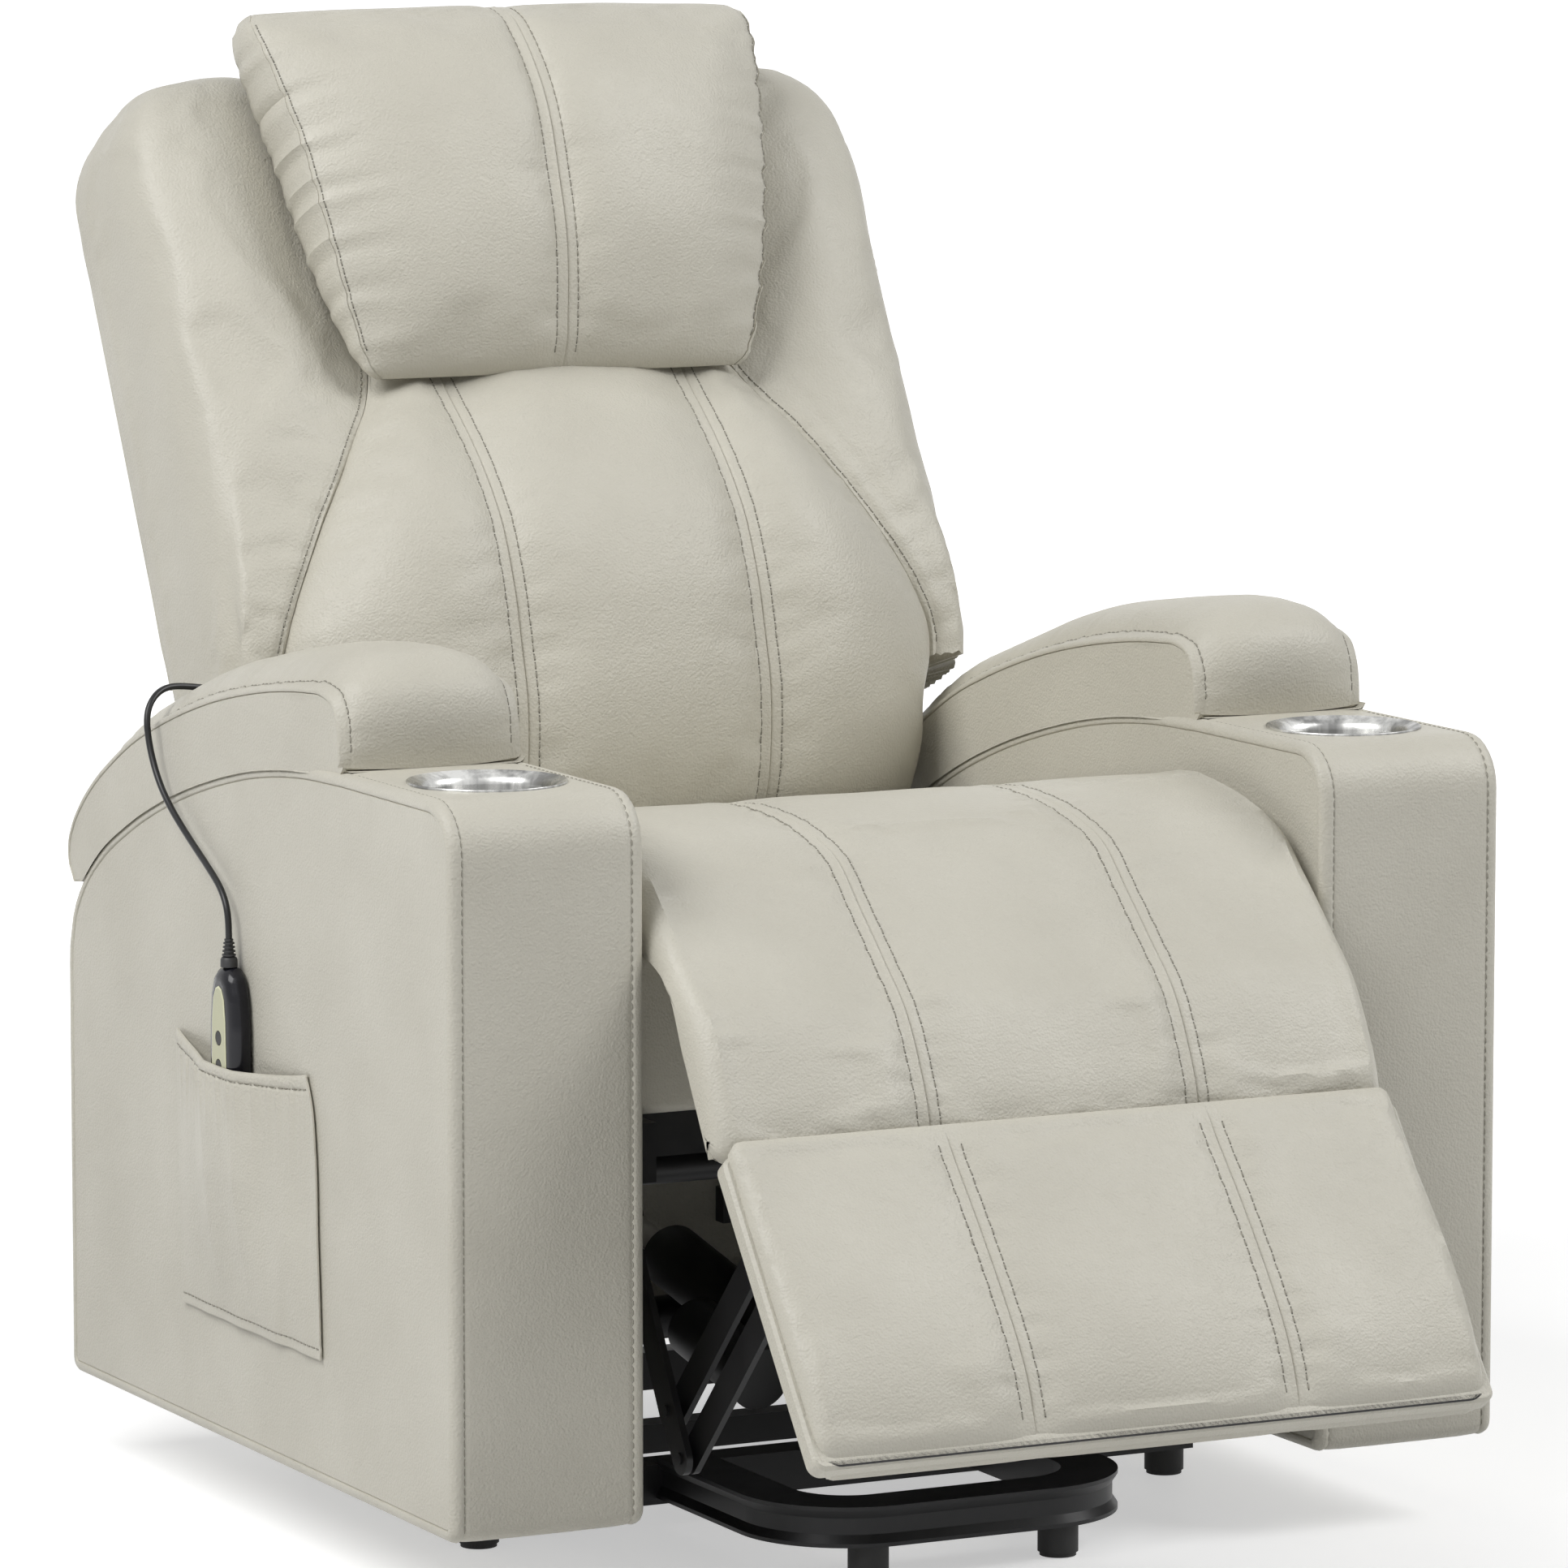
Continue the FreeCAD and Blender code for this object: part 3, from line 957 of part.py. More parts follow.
def back_wings():
    back = mm("shell_rear") + mm("shell_deep")
    low, half, front = mm("back_low_half"), mm("back_half"), mm("wing_front")
    gap = -6
    # height, inner edge, outer edge, front
    stations = [(146, low + gap, half - 3, front - 12), (214, low - 4 + gap, half, front - 2),
                (285, low - 40 + gap, half, front + 4), (358, low - 94 + gap, half, front + 6),
                (470, low - 104 + gap, half, front + 6), (560, low - 104 + gap, half, front),
                (610, low - 104 + gap, half - 18, front - 7), (636, low - 104 + gap, half - 42, front - 20),
                (652, low - 104 + gap, half - 72, front - 44)]
    wires = []
    for up, inner, outer, face in stations:
        middle = (inner + outer) / 2
        wires.append(x_wire(up, [
            (inner, back, "line"), (inner, face - 30, "line"), (inner + 3, face - 14, "via"),
            (inner + 12, face - 8, "line"), (middle, face + 3, "via"), (outer - 16, face - 6, "line"),
            (outer - 4, face - 14, "via"), (outer, face - 30, "line"), (outer, back, "line")]))
    wing = Part.makeLoft(wires, True, False)
    rest = [back_side(0, up, out) for up, out in ((100, 200), (136, 200), (178, back - 4), (100, back - 4))]
    wedge = Part.Face(Part.makePolygon(rest + rest[:1])).extrude(Vector(400, 0, 0))
    left = feature("left_back_wing", solid_of(wing.cut([wedge, cushion_form(mm("wing_seam_gap"))])))
    node(left, "left_back_wing")
    node(mirror("right_back_wing", left), "right_back_wing")


def head_pillow():
    # height, half width, rear, front at the middle
    stations = [(364, 152, 157, 164), (374, 159, 153, 180), (400, 165, 147, 194), (452, 175, 141, 221),
                (542, 193, 141, 236), (629, 208, 140, 214), (656, 211, 142, 192), (668, 207, 150, 166)]
    lift = mm("pillow_back")
    wires = []
    for up, half, rear, face in stations:
        rise = face - rear
        wires.append(x_wire(up, [
            (-half + 10, rear + lift, "line"), (half - 10, rear + lift, "line"),
            (half, rear + 0.3 * rise, "via"), (half - 9, rear + 0.6 * rise, "line"),
            (0, face, "via"), (-half + 9, rear + 0.6 * rise, "line"), (-half, rear + 0.3 * rise, "via")]))
    node(feature("head_pillow", Part.makeLoft(wires, True, False)), "head_pillow")


def vibration_motors():
    radius, thick = mm("vibrator_radius"), mm("vibrator_thick")
    near = mm("shell_rear") + mm("shell_wall")
    front = back_side(0, 0, 1) - back_side(0, 0, 0)
    cans = []
    for x in (-90, 90):
        for up in (190, 480):
            cans.append(Part.makeCylinder(radius, thick, back_side(x, up, near), front))
    node(feature("back_vibration_motors", Part.makeCompound(cans)), "back_vibration_motors")


# the pocket on the right arm, the handset in it and its cord

def pocket_outline(grow):
    side = mm("overall_width") / 2 + 0.3
    stand = mm("handset_gap") + mm("handset_thick") + mm("faceplate_thick") + 0.3 - grow
    start, end = mm("pocket_start") + grow, mm("pocket_end") - grow
    flat = mm("handset_wide") / 2 + 8
    middle = mm("handset_y")
    y = [start, (start + middle - flat) / 2, middle - flat, middle + flat, (end + middle + flat) / 2, end]
    out = [0, stand * 0.62, stand, stand, stand * 0.62, 0]
    return [Vector(-side - o, depth(v), 0) for v, o in zip(y, out)]


def side_pocket():
    low, high, wall = mm("pocket_low"), mm("pocket_high"), mm("pocket_wall")

    def prism(grow, bottom, top):
        p = pocket_outline(grow)
        if grow:
            p[0], p[-1] = p[0] + Vector(2, 0, 0), p[-1] + Vector(2, 0, 0)
        edges = [Part.Arc(p[0], p[1], p[2]).toShape(), Part.LineSegment(p[2], p[3]).toShape(),
                 Part.Arc(p[3], p[4], p[5]).toShape(), Part.LineSegment(p[5], p[0]).toShape()]
        face = Part.Face(Part.Wire(edges))
        face.translate(Vector(0, 0, bottom))
        return face.extrude(Vector(0, 0, top - bottom))

    pouch = prism(-wall, low, high).cut(prism(0, low + 3, high + 1))
    block = Part.makeBox(40, 400, 400, Vector(-mm("overall_width") / 2, depth(200), low - 50))
    node(feature("side_pocket", solid_of(pouch.cut(block))), "side_pocket")


def handset():
    outer = mm("overall_width") / 2
    thick, wide, long = mm("handset_thick"), mm("handset_wide"), mm("handset_length")
    middle, low = depth(mm("handset_y")), mm("handset_low")
    rear = -outer - mm("handset_gap")
    face = rear - thick
    shell = Part.makeBox(thick, wide, long, Vector(face, middle - wide / 2, low))
    upright = [e for e in shell.Edges if abs(e.Length - thick) < 0.01]
    shell = shell.makeFillet(20, upright)
    rim = [e for e in shell.Edges if e.BoundBox.XLength < 0.01]
    shell = shell.makeFillet(5, rim)
    bore = mm("button_radius") + 0.4
    spots = [mm("button_top") - index * mm("button_step") for index in range(3)]
    holes = [Part.makeCylinder(bore, 6, Vector(face - 2, middle, z), Vector(1, 0, 0)) for z in spots]
    node(feature("handset_shell", shell.cut(holes)), "handset_shell")
    skin = mm("faceplate_thick")
    label_face = Part.makeBox(skin, wide - 18, long - 22, Vector(face - skin, middle - wide / 2 + 9, low + 11))
    corners = [e for e in label_face.Edges if abs(e.Length - skin) < 0.01]
    label_face = label_face.makeFillet(12, corners).cut(holes)
    node(feature("handset_faceplate", label_face), "handset_faceplate")
    for number, z in enumerate(spots):
        stem = Part.makeCylinder(mm("button_radius"), 3.6, Vector(face - skin, middle, z), Vector(1, 0, 0))
        name = ("raise_button", "lower_button", "massage_button")[number]
        node(feature(name, stem), name)
    top = low + long
    centre = face + thick / 2
    relief = Part.makeCone(mm("relief_radius"), mm("cord_radius") + 1, mm("relief_length"),
                           Vector(centre, middle, top), Vector(0, 0, 1))
    node(feature("handset_strain_relief", relief), "handset_strain_relief")
    return Vector(centre, middle, top + mm("relief_length"))


def rounded_route(points):
    # straight runs joined by tangent arcs, each as large as its two runs allow
    edges, last = [], points[0]
    radii = []
    for before, here, after in zip(points, points[1:], points[2:]):
        back, ahead = before - here, after - here
        run = min(back.Length, ahead.Length)
        half_turn = (math.pi - back.getAngle(ahead)) / 2
        cut_back = 0.45 * run
        radii.append(cut_back / math.tan(half_turn))
        start = here + back.normalize() * cut_back
        end = here + ahead.normalize() * cut_back
        inward = (start + end) * 0.5 - here
        middle_gap = inward.Length
        radius = radii[-1]
        centre = here + inward.normalize() * math.hypot(cut_back, radius)
        middle = centre + (here - centre).normalize() * radius
        if middle_gap > 0:
            edges.append(Part.LineSegment(last, start).toShape())
            edges.append(Part.Arc(start, middle, end).toShape())
        last = end
    edges.append(Part.LineSegment(last, points[-1]).toShape())
    return Part.Wire(edges), radii


def cord(top):
    radius = mm("cord_radius")
    side = [(-434, 374.5, 470), (-433.7, 386, 481), (-433.5, 405, 491), (-433.5, 430, 503),
            (-434, 456, 516.5), (-435, 480, 531.5), (-436, 498.5, 549), (-437, 511, 571),
            (-437, 517, 593.5)]
    over = [(-429, 522.5, 606.5), (-416, 528, 613), (-397, 533, 612), (-366, 539, 606.5),
            (-332, 545.5, 601.5), (-303, 551, 598.5), (-281, 555, 595)]
    inside = [(-268, 558.5, 585), (-261, 561, 569.5), (-263, 562, 543.5), (-265.3, 563, 515),
              (-269.2, 564.3, 487), (-270.4, 565, 461)]
    route = [top, Vector(top.x, top.y, top.z + 12)]
    route += [Vector(x, depth(y), z) for x, y, z in side + over + inside]
    wire, radii = rounded_route(route)
    tube = wire.makePipeShell([Part.Wire(Part.makeCircle(radius, top, Vector(0, 0, 1)))], True, True)
    straight = sum((a - b).Length for a, b in zip(route, route[1:]))
    print("cord: tube %.0f mm, runs %.0f mm, volume ratio %.4f" % (
        wire.Length, straight, tube.Volume / (math.pi * radius ** 2 * wire.Length)))
    print("cord radii:", " ".join("%.0f" % r for r in radii))
    node(feature("handset_cord", tube), "handset_cord")
    last_run = (route[-2] - route[-1]).normalize()
    gland = Part.makeCylinder(radius + 0.7, 14, route[-1] - last_run * 14, last_run)
    node(feature("cord_gland", gland), "cord_gland")


base_front_hoop()
base_bars()
base_pivot_brackets()
base_feet()
lift_links()
lift_actuator()
seat_frame()
seat_cushion()
arms()
arm_pads()
cup_holders()
rear_parts()
calf_pad()
footrest_panel()
footrest_linkage()
seat_actuators()
back_shell()
back_frame()
back_hinges()
back_cushion()
back_wings()
head_pillow()
vibration_motors()
side_pocket()
cord(handset())

doc.recompute()
os.makedirs("parts", exist_ok=True)
for item in doc.Objects:
    if "Invalid" in item.State or "Error" in item.State:
        raise RuntimeError("%s failed: %s" % (item.Label, item.State))
for item in nodes:
    if item.Shape.isNull() or not item.Shape.isValid():
        raise RuntimeError("%s has no valid shape" % item.Label)
for item in nodes:
    item.Shape.exportStep("parts/%s.step" % item.Label)
whole = Part.makeCompound([item.Shape for item in nodes]).BoundBox
print("nodes:", len(nodes))
print("box: x %.1f %.1f  y %.1f %.1f  z %.1f %.1f" % (
    whole.XMin, whole.XMax, whole.YMin, whole.YMax, whole.ZMin, whole.ZMax))
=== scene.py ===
import bmesh
import bpy
import json
import math
import numpy as np
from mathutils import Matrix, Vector


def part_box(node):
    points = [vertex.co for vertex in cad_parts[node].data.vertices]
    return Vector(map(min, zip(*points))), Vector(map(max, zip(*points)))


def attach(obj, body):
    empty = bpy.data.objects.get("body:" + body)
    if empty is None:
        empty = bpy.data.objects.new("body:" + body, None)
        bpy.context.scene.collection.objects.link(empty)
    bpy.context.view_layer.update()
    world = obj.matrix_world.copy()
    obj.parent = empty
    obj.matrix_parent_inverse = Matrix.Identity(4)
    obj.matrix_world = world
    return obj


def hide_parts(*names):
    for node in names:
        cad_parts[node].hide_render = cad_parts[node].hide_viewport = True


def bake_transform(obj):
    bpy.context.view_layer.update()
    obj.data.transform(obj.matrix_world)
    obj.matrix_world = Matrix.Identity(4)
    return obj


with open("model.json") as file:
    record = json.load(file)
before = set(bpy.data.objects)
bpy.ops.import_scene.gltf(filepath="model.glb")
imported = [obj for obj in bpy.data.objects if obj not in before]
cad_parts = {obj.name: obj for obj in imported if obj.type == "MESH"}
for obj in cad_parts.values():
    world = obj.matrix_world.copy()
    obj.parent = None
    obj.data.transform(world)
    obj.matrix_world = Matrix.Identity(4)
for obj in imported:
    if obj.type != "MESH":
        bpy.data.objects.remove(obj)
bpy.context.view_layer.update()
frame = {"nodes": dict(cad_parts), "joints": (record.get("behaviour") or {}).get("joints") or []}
nodes = frame["nodes"]
print("frame loaded:", len(nodes), "nodes")

# Lengths below are millimetres in the chair's own measure: x to the sitter's left,
# y back from the front of the arms, z up from the floor.
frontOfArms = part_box("left_arm_body")[0][1]
armBox = [side * 1000 for side in (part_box("left_arm_body")[0][0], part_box("left_arm_body")[1][0])]
joints = {joint["name"]: joint for joint in frame["joints"]}
sideNames = {-1: "right", 1: "left"}


def chairMetres(points):
    metres = np.array(points, float) / 1000
    metres[..., 1] += frontOfArms
    return metres


def pivotOf(joint):
    x, y, z = joints[joint]["pos_m"]
    return (y - frontOfArms) * 1000, z * 1000


backLean = math.radians(27)
backPivot = pivotOf("recline")
knee = pivotOf("footrest_swing")


def onBack(x, up, out):
    # a place on the reclining back: up along it, out towards the sitter
    y = backPivot[0] + up * math.sin(backLean) - out * math.cos(backLean)
    z = backPivot[1] + up * math.cos(backLean) + out * math.sin(backLean)
    return np.stack(np.broadcast_arrays(x, y, z), -1)


def leaning(start, lean):
    # a side frame that runs down and forwards from start, out of its face to the front
    sine, cosine = math.sin(math.radians(lean)), math.cos(math.radians(lean))

    def place(along, out):
        return start[0] - along * sine - out * cosine, start[1] - along * cosine + out * sine
    return place


# smooth lines and tables

def through(at, values, wanted):
    at, values, wanted = (np.asarray(a, float) for a in (at, values, wanted))
    slope = np.gradient(values, at, axis=0)
    spot = np.clip(np.searchsorted(at, wanted, side="right") - 1, 0, len(at) - 2)
    span = at[spot + 1] - at[spot]
    t = (wanted - at[spot]) / span
    if values.ndim > 1:
        t, span = t[:, None], span[:, None]
    return ((2 * t ** 3 - 3 * t ** 2 + 1) * values[spot] + (t ** 3 - 2 * t ** 2 + t) * span * slope[spot]
            + (3 * t ** 2 - 2 * t ** 3) * values[spot + 1] + (t ** 3 - t ** 2) * span * slope[spot + 1])


def runOf(points):
    return np.concatenate(([0], np.cumsum(np.linalg.norm(np.diff(points, axis=0), axis=1))))


def evenly(points, count):
    run = runOf(points)
    places = np.linspace(0, run[-1], count)
    return np.stack([np.interp(places, run, points[:, k]) for k in range(points.shape[1])], 1)


def smoothLine(points, count):
    points = np.array(points, float)
    at = runOf(points)
    return evenly(through(at, points, np.linspace(0, at[-1], 12 * count)), count)


def sideNormals(line):
    # for a side line (y, z) that runs forwards over the top: out of the cushion
    way = np.gradient(line, axis=0)
    way /= np.linalg.norm(way, axis=1)[:, None]
    return np.stack([way[:, 1], -way[:, 0]], 1)


def ripple(places, wave, seed):
    # an uneven wave along a line, about -1 to 1
    draw = np.random.default_rng(seed)
    total = 0
    for share in (1, 0.61, 0.37):
        total = total + share * np.sin(2 * np.pi * places / (wave * share) + draw.uniform(0, 6.28))
    return total / 1.5


def lumps(a, b, wave, seed):
    # uneven soft hills over a surface, about -1 to 1
    draw = np.random.default_rng(seed)
    total = 0
    for turn in draw.uniform(0, np.pi, 5):
        along = a * np.cos(turn) + b * np.sin(turn)
        total = total + np.sin(2 * np.pi * along / (wave * draw.uniform(0.6, 1.3)) + draw.uniform(0, 6.28))
    return total / 3


# A double seam: a folded lip in the middle, its groove, and a stitched row each side in a soft valley.
doubleSeam = np.array([
    (-34, 0), (-24, -0.7), (-16, -2.2), (-11, -3.8), (-9, -4.6), (-6.5, -4.1), (-3, -3.9), (-1.4, -3.0),
    (-0.5, -3.2), (0.2, -5.2), (1.2, -4.4), (3, -4.1), (6.5, -4.1), (9, -4.7), (11, -3.9), (16, -2.2),
    (24, -0.7), (34, 0)])
stitchOffset = 9
grooveHalf = 9.5


def seamHeight(distance):
    return np.interp(distance, doubleSeam[:, 0], doubleSeam[:, 1])


def columnsAcross(low, high, seams, step, edges=(0, 1.5, 4, 8, 13, 19)):
    xs = {round(seam + offset, 3) for seam in seams for offset in doubleSeam[:, 0]
          if low < seam + offset < high}
    xs |= {low + e for e in edges} | {high - e for e in edges}
    xs = sorted(xs)
    full = [xs[0]]
    for x in xs[1:]:
        parts = max(1, math.ceil((x - full[-1]) / step))
        full += list(np.linspace(full[-1], x, parts + 1)[1:])
    return np.array(full)


def quarterRound(distance, radius):
    # how far a rounded edge falls, from the distance to the side
    inside = np.clip(radius - distance, 0, radius)
    return radius - np.sqrt(radius ** 2 - inside ** 2)


# meshes

def addObject(name, data):
    obj = bpy.data.objects.new(name, data)
    bpy.context.scene.collection.objects.link(obj)
    return obj


def addMesh(name, points, faces, material, body=None, slot="upholstery", crease=40):
    mesh = bpy.data.meshes.new(name)
    mesh.from_pydata(np.asarray(points, float).reshape(-1, 3).tolist(), [], faces)
    mesh.validate()
    obj = addObject(name, mesh)
    mesh.shade_smooth()
    mesh.set_sharp_from_angle(angle=math.radians(crease))
    if material:
        mesh.materials.append(material)
    if body:
        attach(obj, body)
    return obj


def addSolid(name, points, faces, material, **more):
    # a closed mesh, its faces turned outwards
    obj = addMesh(name, points, faces, material, **more)
    work = bmesh.new()
    work.from_mesh(obj.data)
    bmesh.ops.recalc_face_normals(work, faces=work.faces)
    work.to_mesh(obj.data)
    work.free()
    obj.data.update()
    return obj


def gridFaces(rows, columns, start=0, flip=False, wrap=False):
    faces = []
    width = columns if wrap else columns - 1
    for r in range(rows - 1):
        for c in range(width):
            d = (c + 1) % columns
            face = (start + r * columns + c, start + r * columns + d,
                    start + (r + 1) * columns + d, start + (r + 1) * columns + c)
            faces.append(face[::-1] if flip else face)
    return faces


def rimOf(rows, columns, start=0):
    grid = np.arange(rows * columns).reshape(rows, columns) + start
    return np.concatenate([grid[0, :], grid[1:, -1], grid[-1, -2::-1], grid[-2:0:-1, 0]]).tolist()


def closedForm(name, front, rear, material, **more):
    # two grids of the same count, joined round their rims
    rows, columns = front.shape[:2]
    points = np.concatenate([front.reshape(-1, 3), rear.reshape(-1, 3)])
    count = rows * columns
    faces = gridFaces(rows, columns) + gridFaces(rows, columns, count, flip=True)
    outer, inner = rimOf(rows, columns), rimOf(rows, columns, count)
    for a in range(len(outer)):
        b = (a + 1) % len(outer)
        faces.append((outer[b], outer[a], inner[a], inner[b]))
    return addSolid(name, points, faces, material, **more)


def acrossForm(name, loops, material, **more):
    # closed side outlines, one behind the other across the chair, with flat ends
    loops = np.array(loops)
    stations, count = loops.shape[:2]
    faces = gridFaces(stations, count, wrap=True)
    faces.append(tuple(range(count)))
    faces.append(tuple(range(stations * count - 1, (stations - 1) * count - 1, -1)))
    return addSolid(name, loops, faces, material, **more)


def drillHole(piece, middle, radius, depth, sides, turn=(0, 0, 0)):
    bpy.ops.mesh.primitive_cylinder_add(vertices=sides, radius=radius / 1000, depth=depth / 1000,
                                        rotation=turn)
    drill = bpy.context.object
    drill.location = chairMetres(middle)
    cut = piece.modifiers.new("drill", "BOOLEAN")
    cut.object = drill
    cut.solver = "EXACT"
    bpy.context.view_layer.objects.active = piece
    bpy.ops.object.modifier_apply(modifier="drill")
    bpy.data.objects.remove(drill)


# Filled covers swell under pressure from inside, held at their seams and edges.
clothSpec = {"frames": 16, "growth": 0.012, "stiffness": 18, "bending": 0.6, "damping": 12, "airDamping": 4,
             "mass": 0.25, "quality": 6}


def heldMask(xs, seams, ends, sides):
    # what can't swell: rows at the ends, columns at the sides, and the grooves of the seams
    held = np.zeros(xs.shape, bool)
    held[:ends[0]] = held[-ends[1]:] = True
    held[:, :sides[0]] = held[:, -sides[1]:] = True
    for seam in seams:
        held |= np.abs(xs - seam) < grooveHalf
    return held


def fillCover(front, held, pressure, cap):
    rows, columns = front.shape[:2]
    cover = addMesh("cover", front, gridFaces(rows, columns), None, slot=None)
    group = cover.vertex_groups.new(name="held")
    group.add(np.flatnonzero(held.ravel()).tolist(), 1.0, "REPLACE")
    cloth = cover.modifiers.new("Cloth", "CLOTH")
    settings = cloth.settings
    settings.quality = clothSpec["quality"]
    settings.mass = clothSpec["mass"]
    settings.tension_stiffness = settings.compression_stiffness = clothSpec["stiffness"]
    settings.shear_stiffness = clothSpec["stiffness"] / 2
    settings.bending_stiffness = clothSpec["bending"]
    settings.tension_damping = settings.compression_damping = clothSpec["damping"]
    settings.air_damping = clothSpec["airDamping"]
    settings.shrink_min = -clothSpec["growth"]
    settings.use_pressure = True
    settings.uniform_pressure_force = pressure
    settings.vertex_group_mass = "held"
    settings.effector_weights.gravity = 0
    cloth.collision_settings.use_self_collision = False
    cloth.point_cache.frame_start = 1
    cloth.point_cache.frame_end = clothSpec["frames"]
    scene = bpy.context.scene
    for number in range(1, clothSpec["frames"] + 1):
        scene.frame_set(number)
    swollen = cover.evaluated_get(bpy.context.evaluated_depsgraph_get())
    moved = np.empty(rows * columns * 3)
    swollen.data.vertices.foreach_get("co", moved)
    scene.frame_set(1)
    mesh = cover.data
    bpy.data.objects.remove(cover)
    bpy.data.meshes.remove(mesh)
    shift = moved.reshape(front.shape) - front
    length = np.linalg.norm(shift, axis=-1, keepdims=True)
    limit = cap / 1000
    shift *= np.where(length > limit, limit / np.maximum(length, 1e-9), 1)
    shift[~np.isfinite(shift)] = 0
    return front + shift


# shared shader effects

def nodeGroup(name, inputs, outputs):
    group = bpy.data.node_groups.new(name, "ShaderNodeTree")
    for label, kind, value in inputs:
        socket = group.interface.new_socket(name=label, in_out="INPUT", socket_type=kind)
        if value is not None:
            socket.default_value = value
    for label, kind in outputs:
        group.interface.new_socket(name=label, in_out="OUTPUT", socket_type=kind)
    return group, group.nodes.new("NodeGroupInput"), group.nodes.new("NodeGroupOutput")


def addNode(tree, kind, **values):
    node = tree.nodes.new(kind)
    for key, value in values.items():
        if hasattr(node, key):
            setattr(node, key, value)
        else:
            node.inputs[key.replace("_", " ")].default_value = value
    return node


def mathNode(tree, operation, first, second, third=None):
    node = tree.nodes.new("ShaderNodeMath")
    node.operation = operation
    for place, value in enumerate((first, second, third)):
        if value is None:
            continue
        if isinstance(value, (int, float)):
            node.inputs[place].default_value = value
        else:
            tree.links.new(value, node.inputs[place])
    return node.outputs[0]


def leatherGrainGroup():
    # fine pebbles with a few creases between them, and slow changes of tone
    group, entry, exit = nodeGroup(
        "leatherGrain",
        [("Vector", "NodeSocketVector", None), ("Pebble", "NodeSocketFloat", 620),
         ("Crease", "NodeSocketFloat", 0.35)],
        [("Height", "NodeSocketFloat"), ("Tone", "NodeSocketFloat")])
    link = group.links.new
    pebble = addNode(group, "ShaderNodeTexVoronoi", feature="SMOOTH_F1", Smoothness=0.45)
    link(entry.outputs["Vector"], pebble.inputs["Vector"])
    link(entry.outputs["Pebble"], pebble.inputs["Scale"])
    crease = addNode(group, "ShaderNodeTexNoise", Scale=95, Detail=5, Roughness=0.62, Distortion=0.7)
    link(entry.outputs["Vector"], crease.inputs["Vector"])
    thin = mathNode(group, "ABSOLUTE", mathNode(group, "SUBTRACT", crease.outputs["Fac"], 0.5), 0)
    line = mathNode(group, "MINIMUM", mathNode(group, "MULTIPLY", thin, 9), 1)
    grain = mathNode(group, "MULTIPLY", pebble.outputs["Distance"], -0.9)
    height = mathNode(group, "MULTIPLY_ADD", line, entry.outputs["Crease"], grain)
    link(height, exit.inputs["Height"])
    slow = addNode(group, "ShaderNodeTexNoise", Scale=9, Detail=3, Roughness=0.5)
    link(entry.outputs["Vector"], slow.inputs["Vector"])
    link(slow.outputs["Fac"], exit.inputs["Tone"])
    return group


def fineTextureGroup():
    # moulded or powder coated texture with faint wear in its tone
    group, entry, exit = nodeGroup(
        "fineTexture",
        [("Vector", "NodeSocketVector", None), ("Size", "NodeSocketFloat", 900)],
        [("Height", "NodeSocketFloat"), ("Wear", "NodeSocketFloat")])
    link = group.links.new
    speck = addNode(group, "ShaderNodeTexNoise", Detail=2, Roughness=0.5)
    link(entry.outputs["Vector"], speck.inputs["Vector"])
    link(entry.outputs["Size"], speck.inputs["Scale"])
    wear = addNode(group, "ShaderNodeTexNoise", Scale=28, Detail=4, Roughness=0.6)
    link(entry.outputs["Vector"], wear.inputs["Vector"])
    link(speck.outputs["Fac"], exit.inputs["Height"])
    link(wear.outputs["Fac"], exit.inputs["Wear"])
    return group


leatherGrain = leatherGrainGroup()
fineTexture = fineTextureGroup()


def newMaterial(name):
    material = bpy.data.materials.new(name)
    material.use_nodes = True
    tree = material.node_tree
    shader = tree.nodes["Principled BSDF"]
    places = tree.nodes.new("ShaderNodeTexCoord")
    return material, tree, shader, places.outputs["Object"]


def placeGroup(tree, group, places, **values):
    node = tree.nodes.new("ShaderNodeGroup")
    node.node_tree = group
    tree.links.new(places, node.inputs["Vector"])
    for key, value in values.items():
        node.inputs[key].default_value = value
    return node


def bumpFrom(tree, height, shader, strength, distance):
    bump = addNode(tree, "ShaderNodeBump", Strength=strength, Distance=distance)
    tree.links.new(height, bump.inputs["Height"])
    tree.links.new(bump.outputs["Normal"], shader.inputs["Normal"])


def rangeTo(tree, value, low, high, outLow, outHigh, target):
    node = addNode(tree, "ShaderNodeMapRange")
    for place, number in zip(("From Min", "From Max", "To Min", "To Max"), (low, high, outLow, outHigh)):
        node.inputs[place].default_value = number
    tree.links.new(value, node.inputs["Value"])
    tree.links.new(node.outputs["Result"], target)


def twoColours(tree, value, low, high, first, second, target):
    ramp = tree.nodes.new("ShaderNodeValToRGB")
    ramp.color_ramp.elements[0].position = low
    ramp.color_ramp.elements[1].position = high
    ramp.color_ramp.elements[0].color = (*first, 1)
    ramp.color_ramp.elements[1].color = (*second, 1)
    tree.links.new(value, ramp.inputs["Fac"])
    tree.links.new(ramp.outputs["Color"], target)


def leather(name, dark, light, pebble, crease, depth):
    material, tree, shader, places = newMaterial(name)
    grain = placeGroup(tree, leatherGrain, places, Pebble=pebble, Crease=crease)
    twoColours(tree, grain.outputs["Tone"], 0.3, 0.7, dark, light, shader.inputs["Base Color"])
    rangeTo(tree, grain.outputs["Tone"], 0.3, 0.7, 0.5, 0.43, shader.inputs["Roughness"])
    bumpFrom(tree, grain.outputs["Height"], shader, depth, 0.0008)
    shader.inputs["Specular IOR Level"].default_value = 0.42
    shader.inputs["Coat Weight"].default_value = 0.06
    shader.inputs["Coat Roughness"].default_value = 0.35
    return material


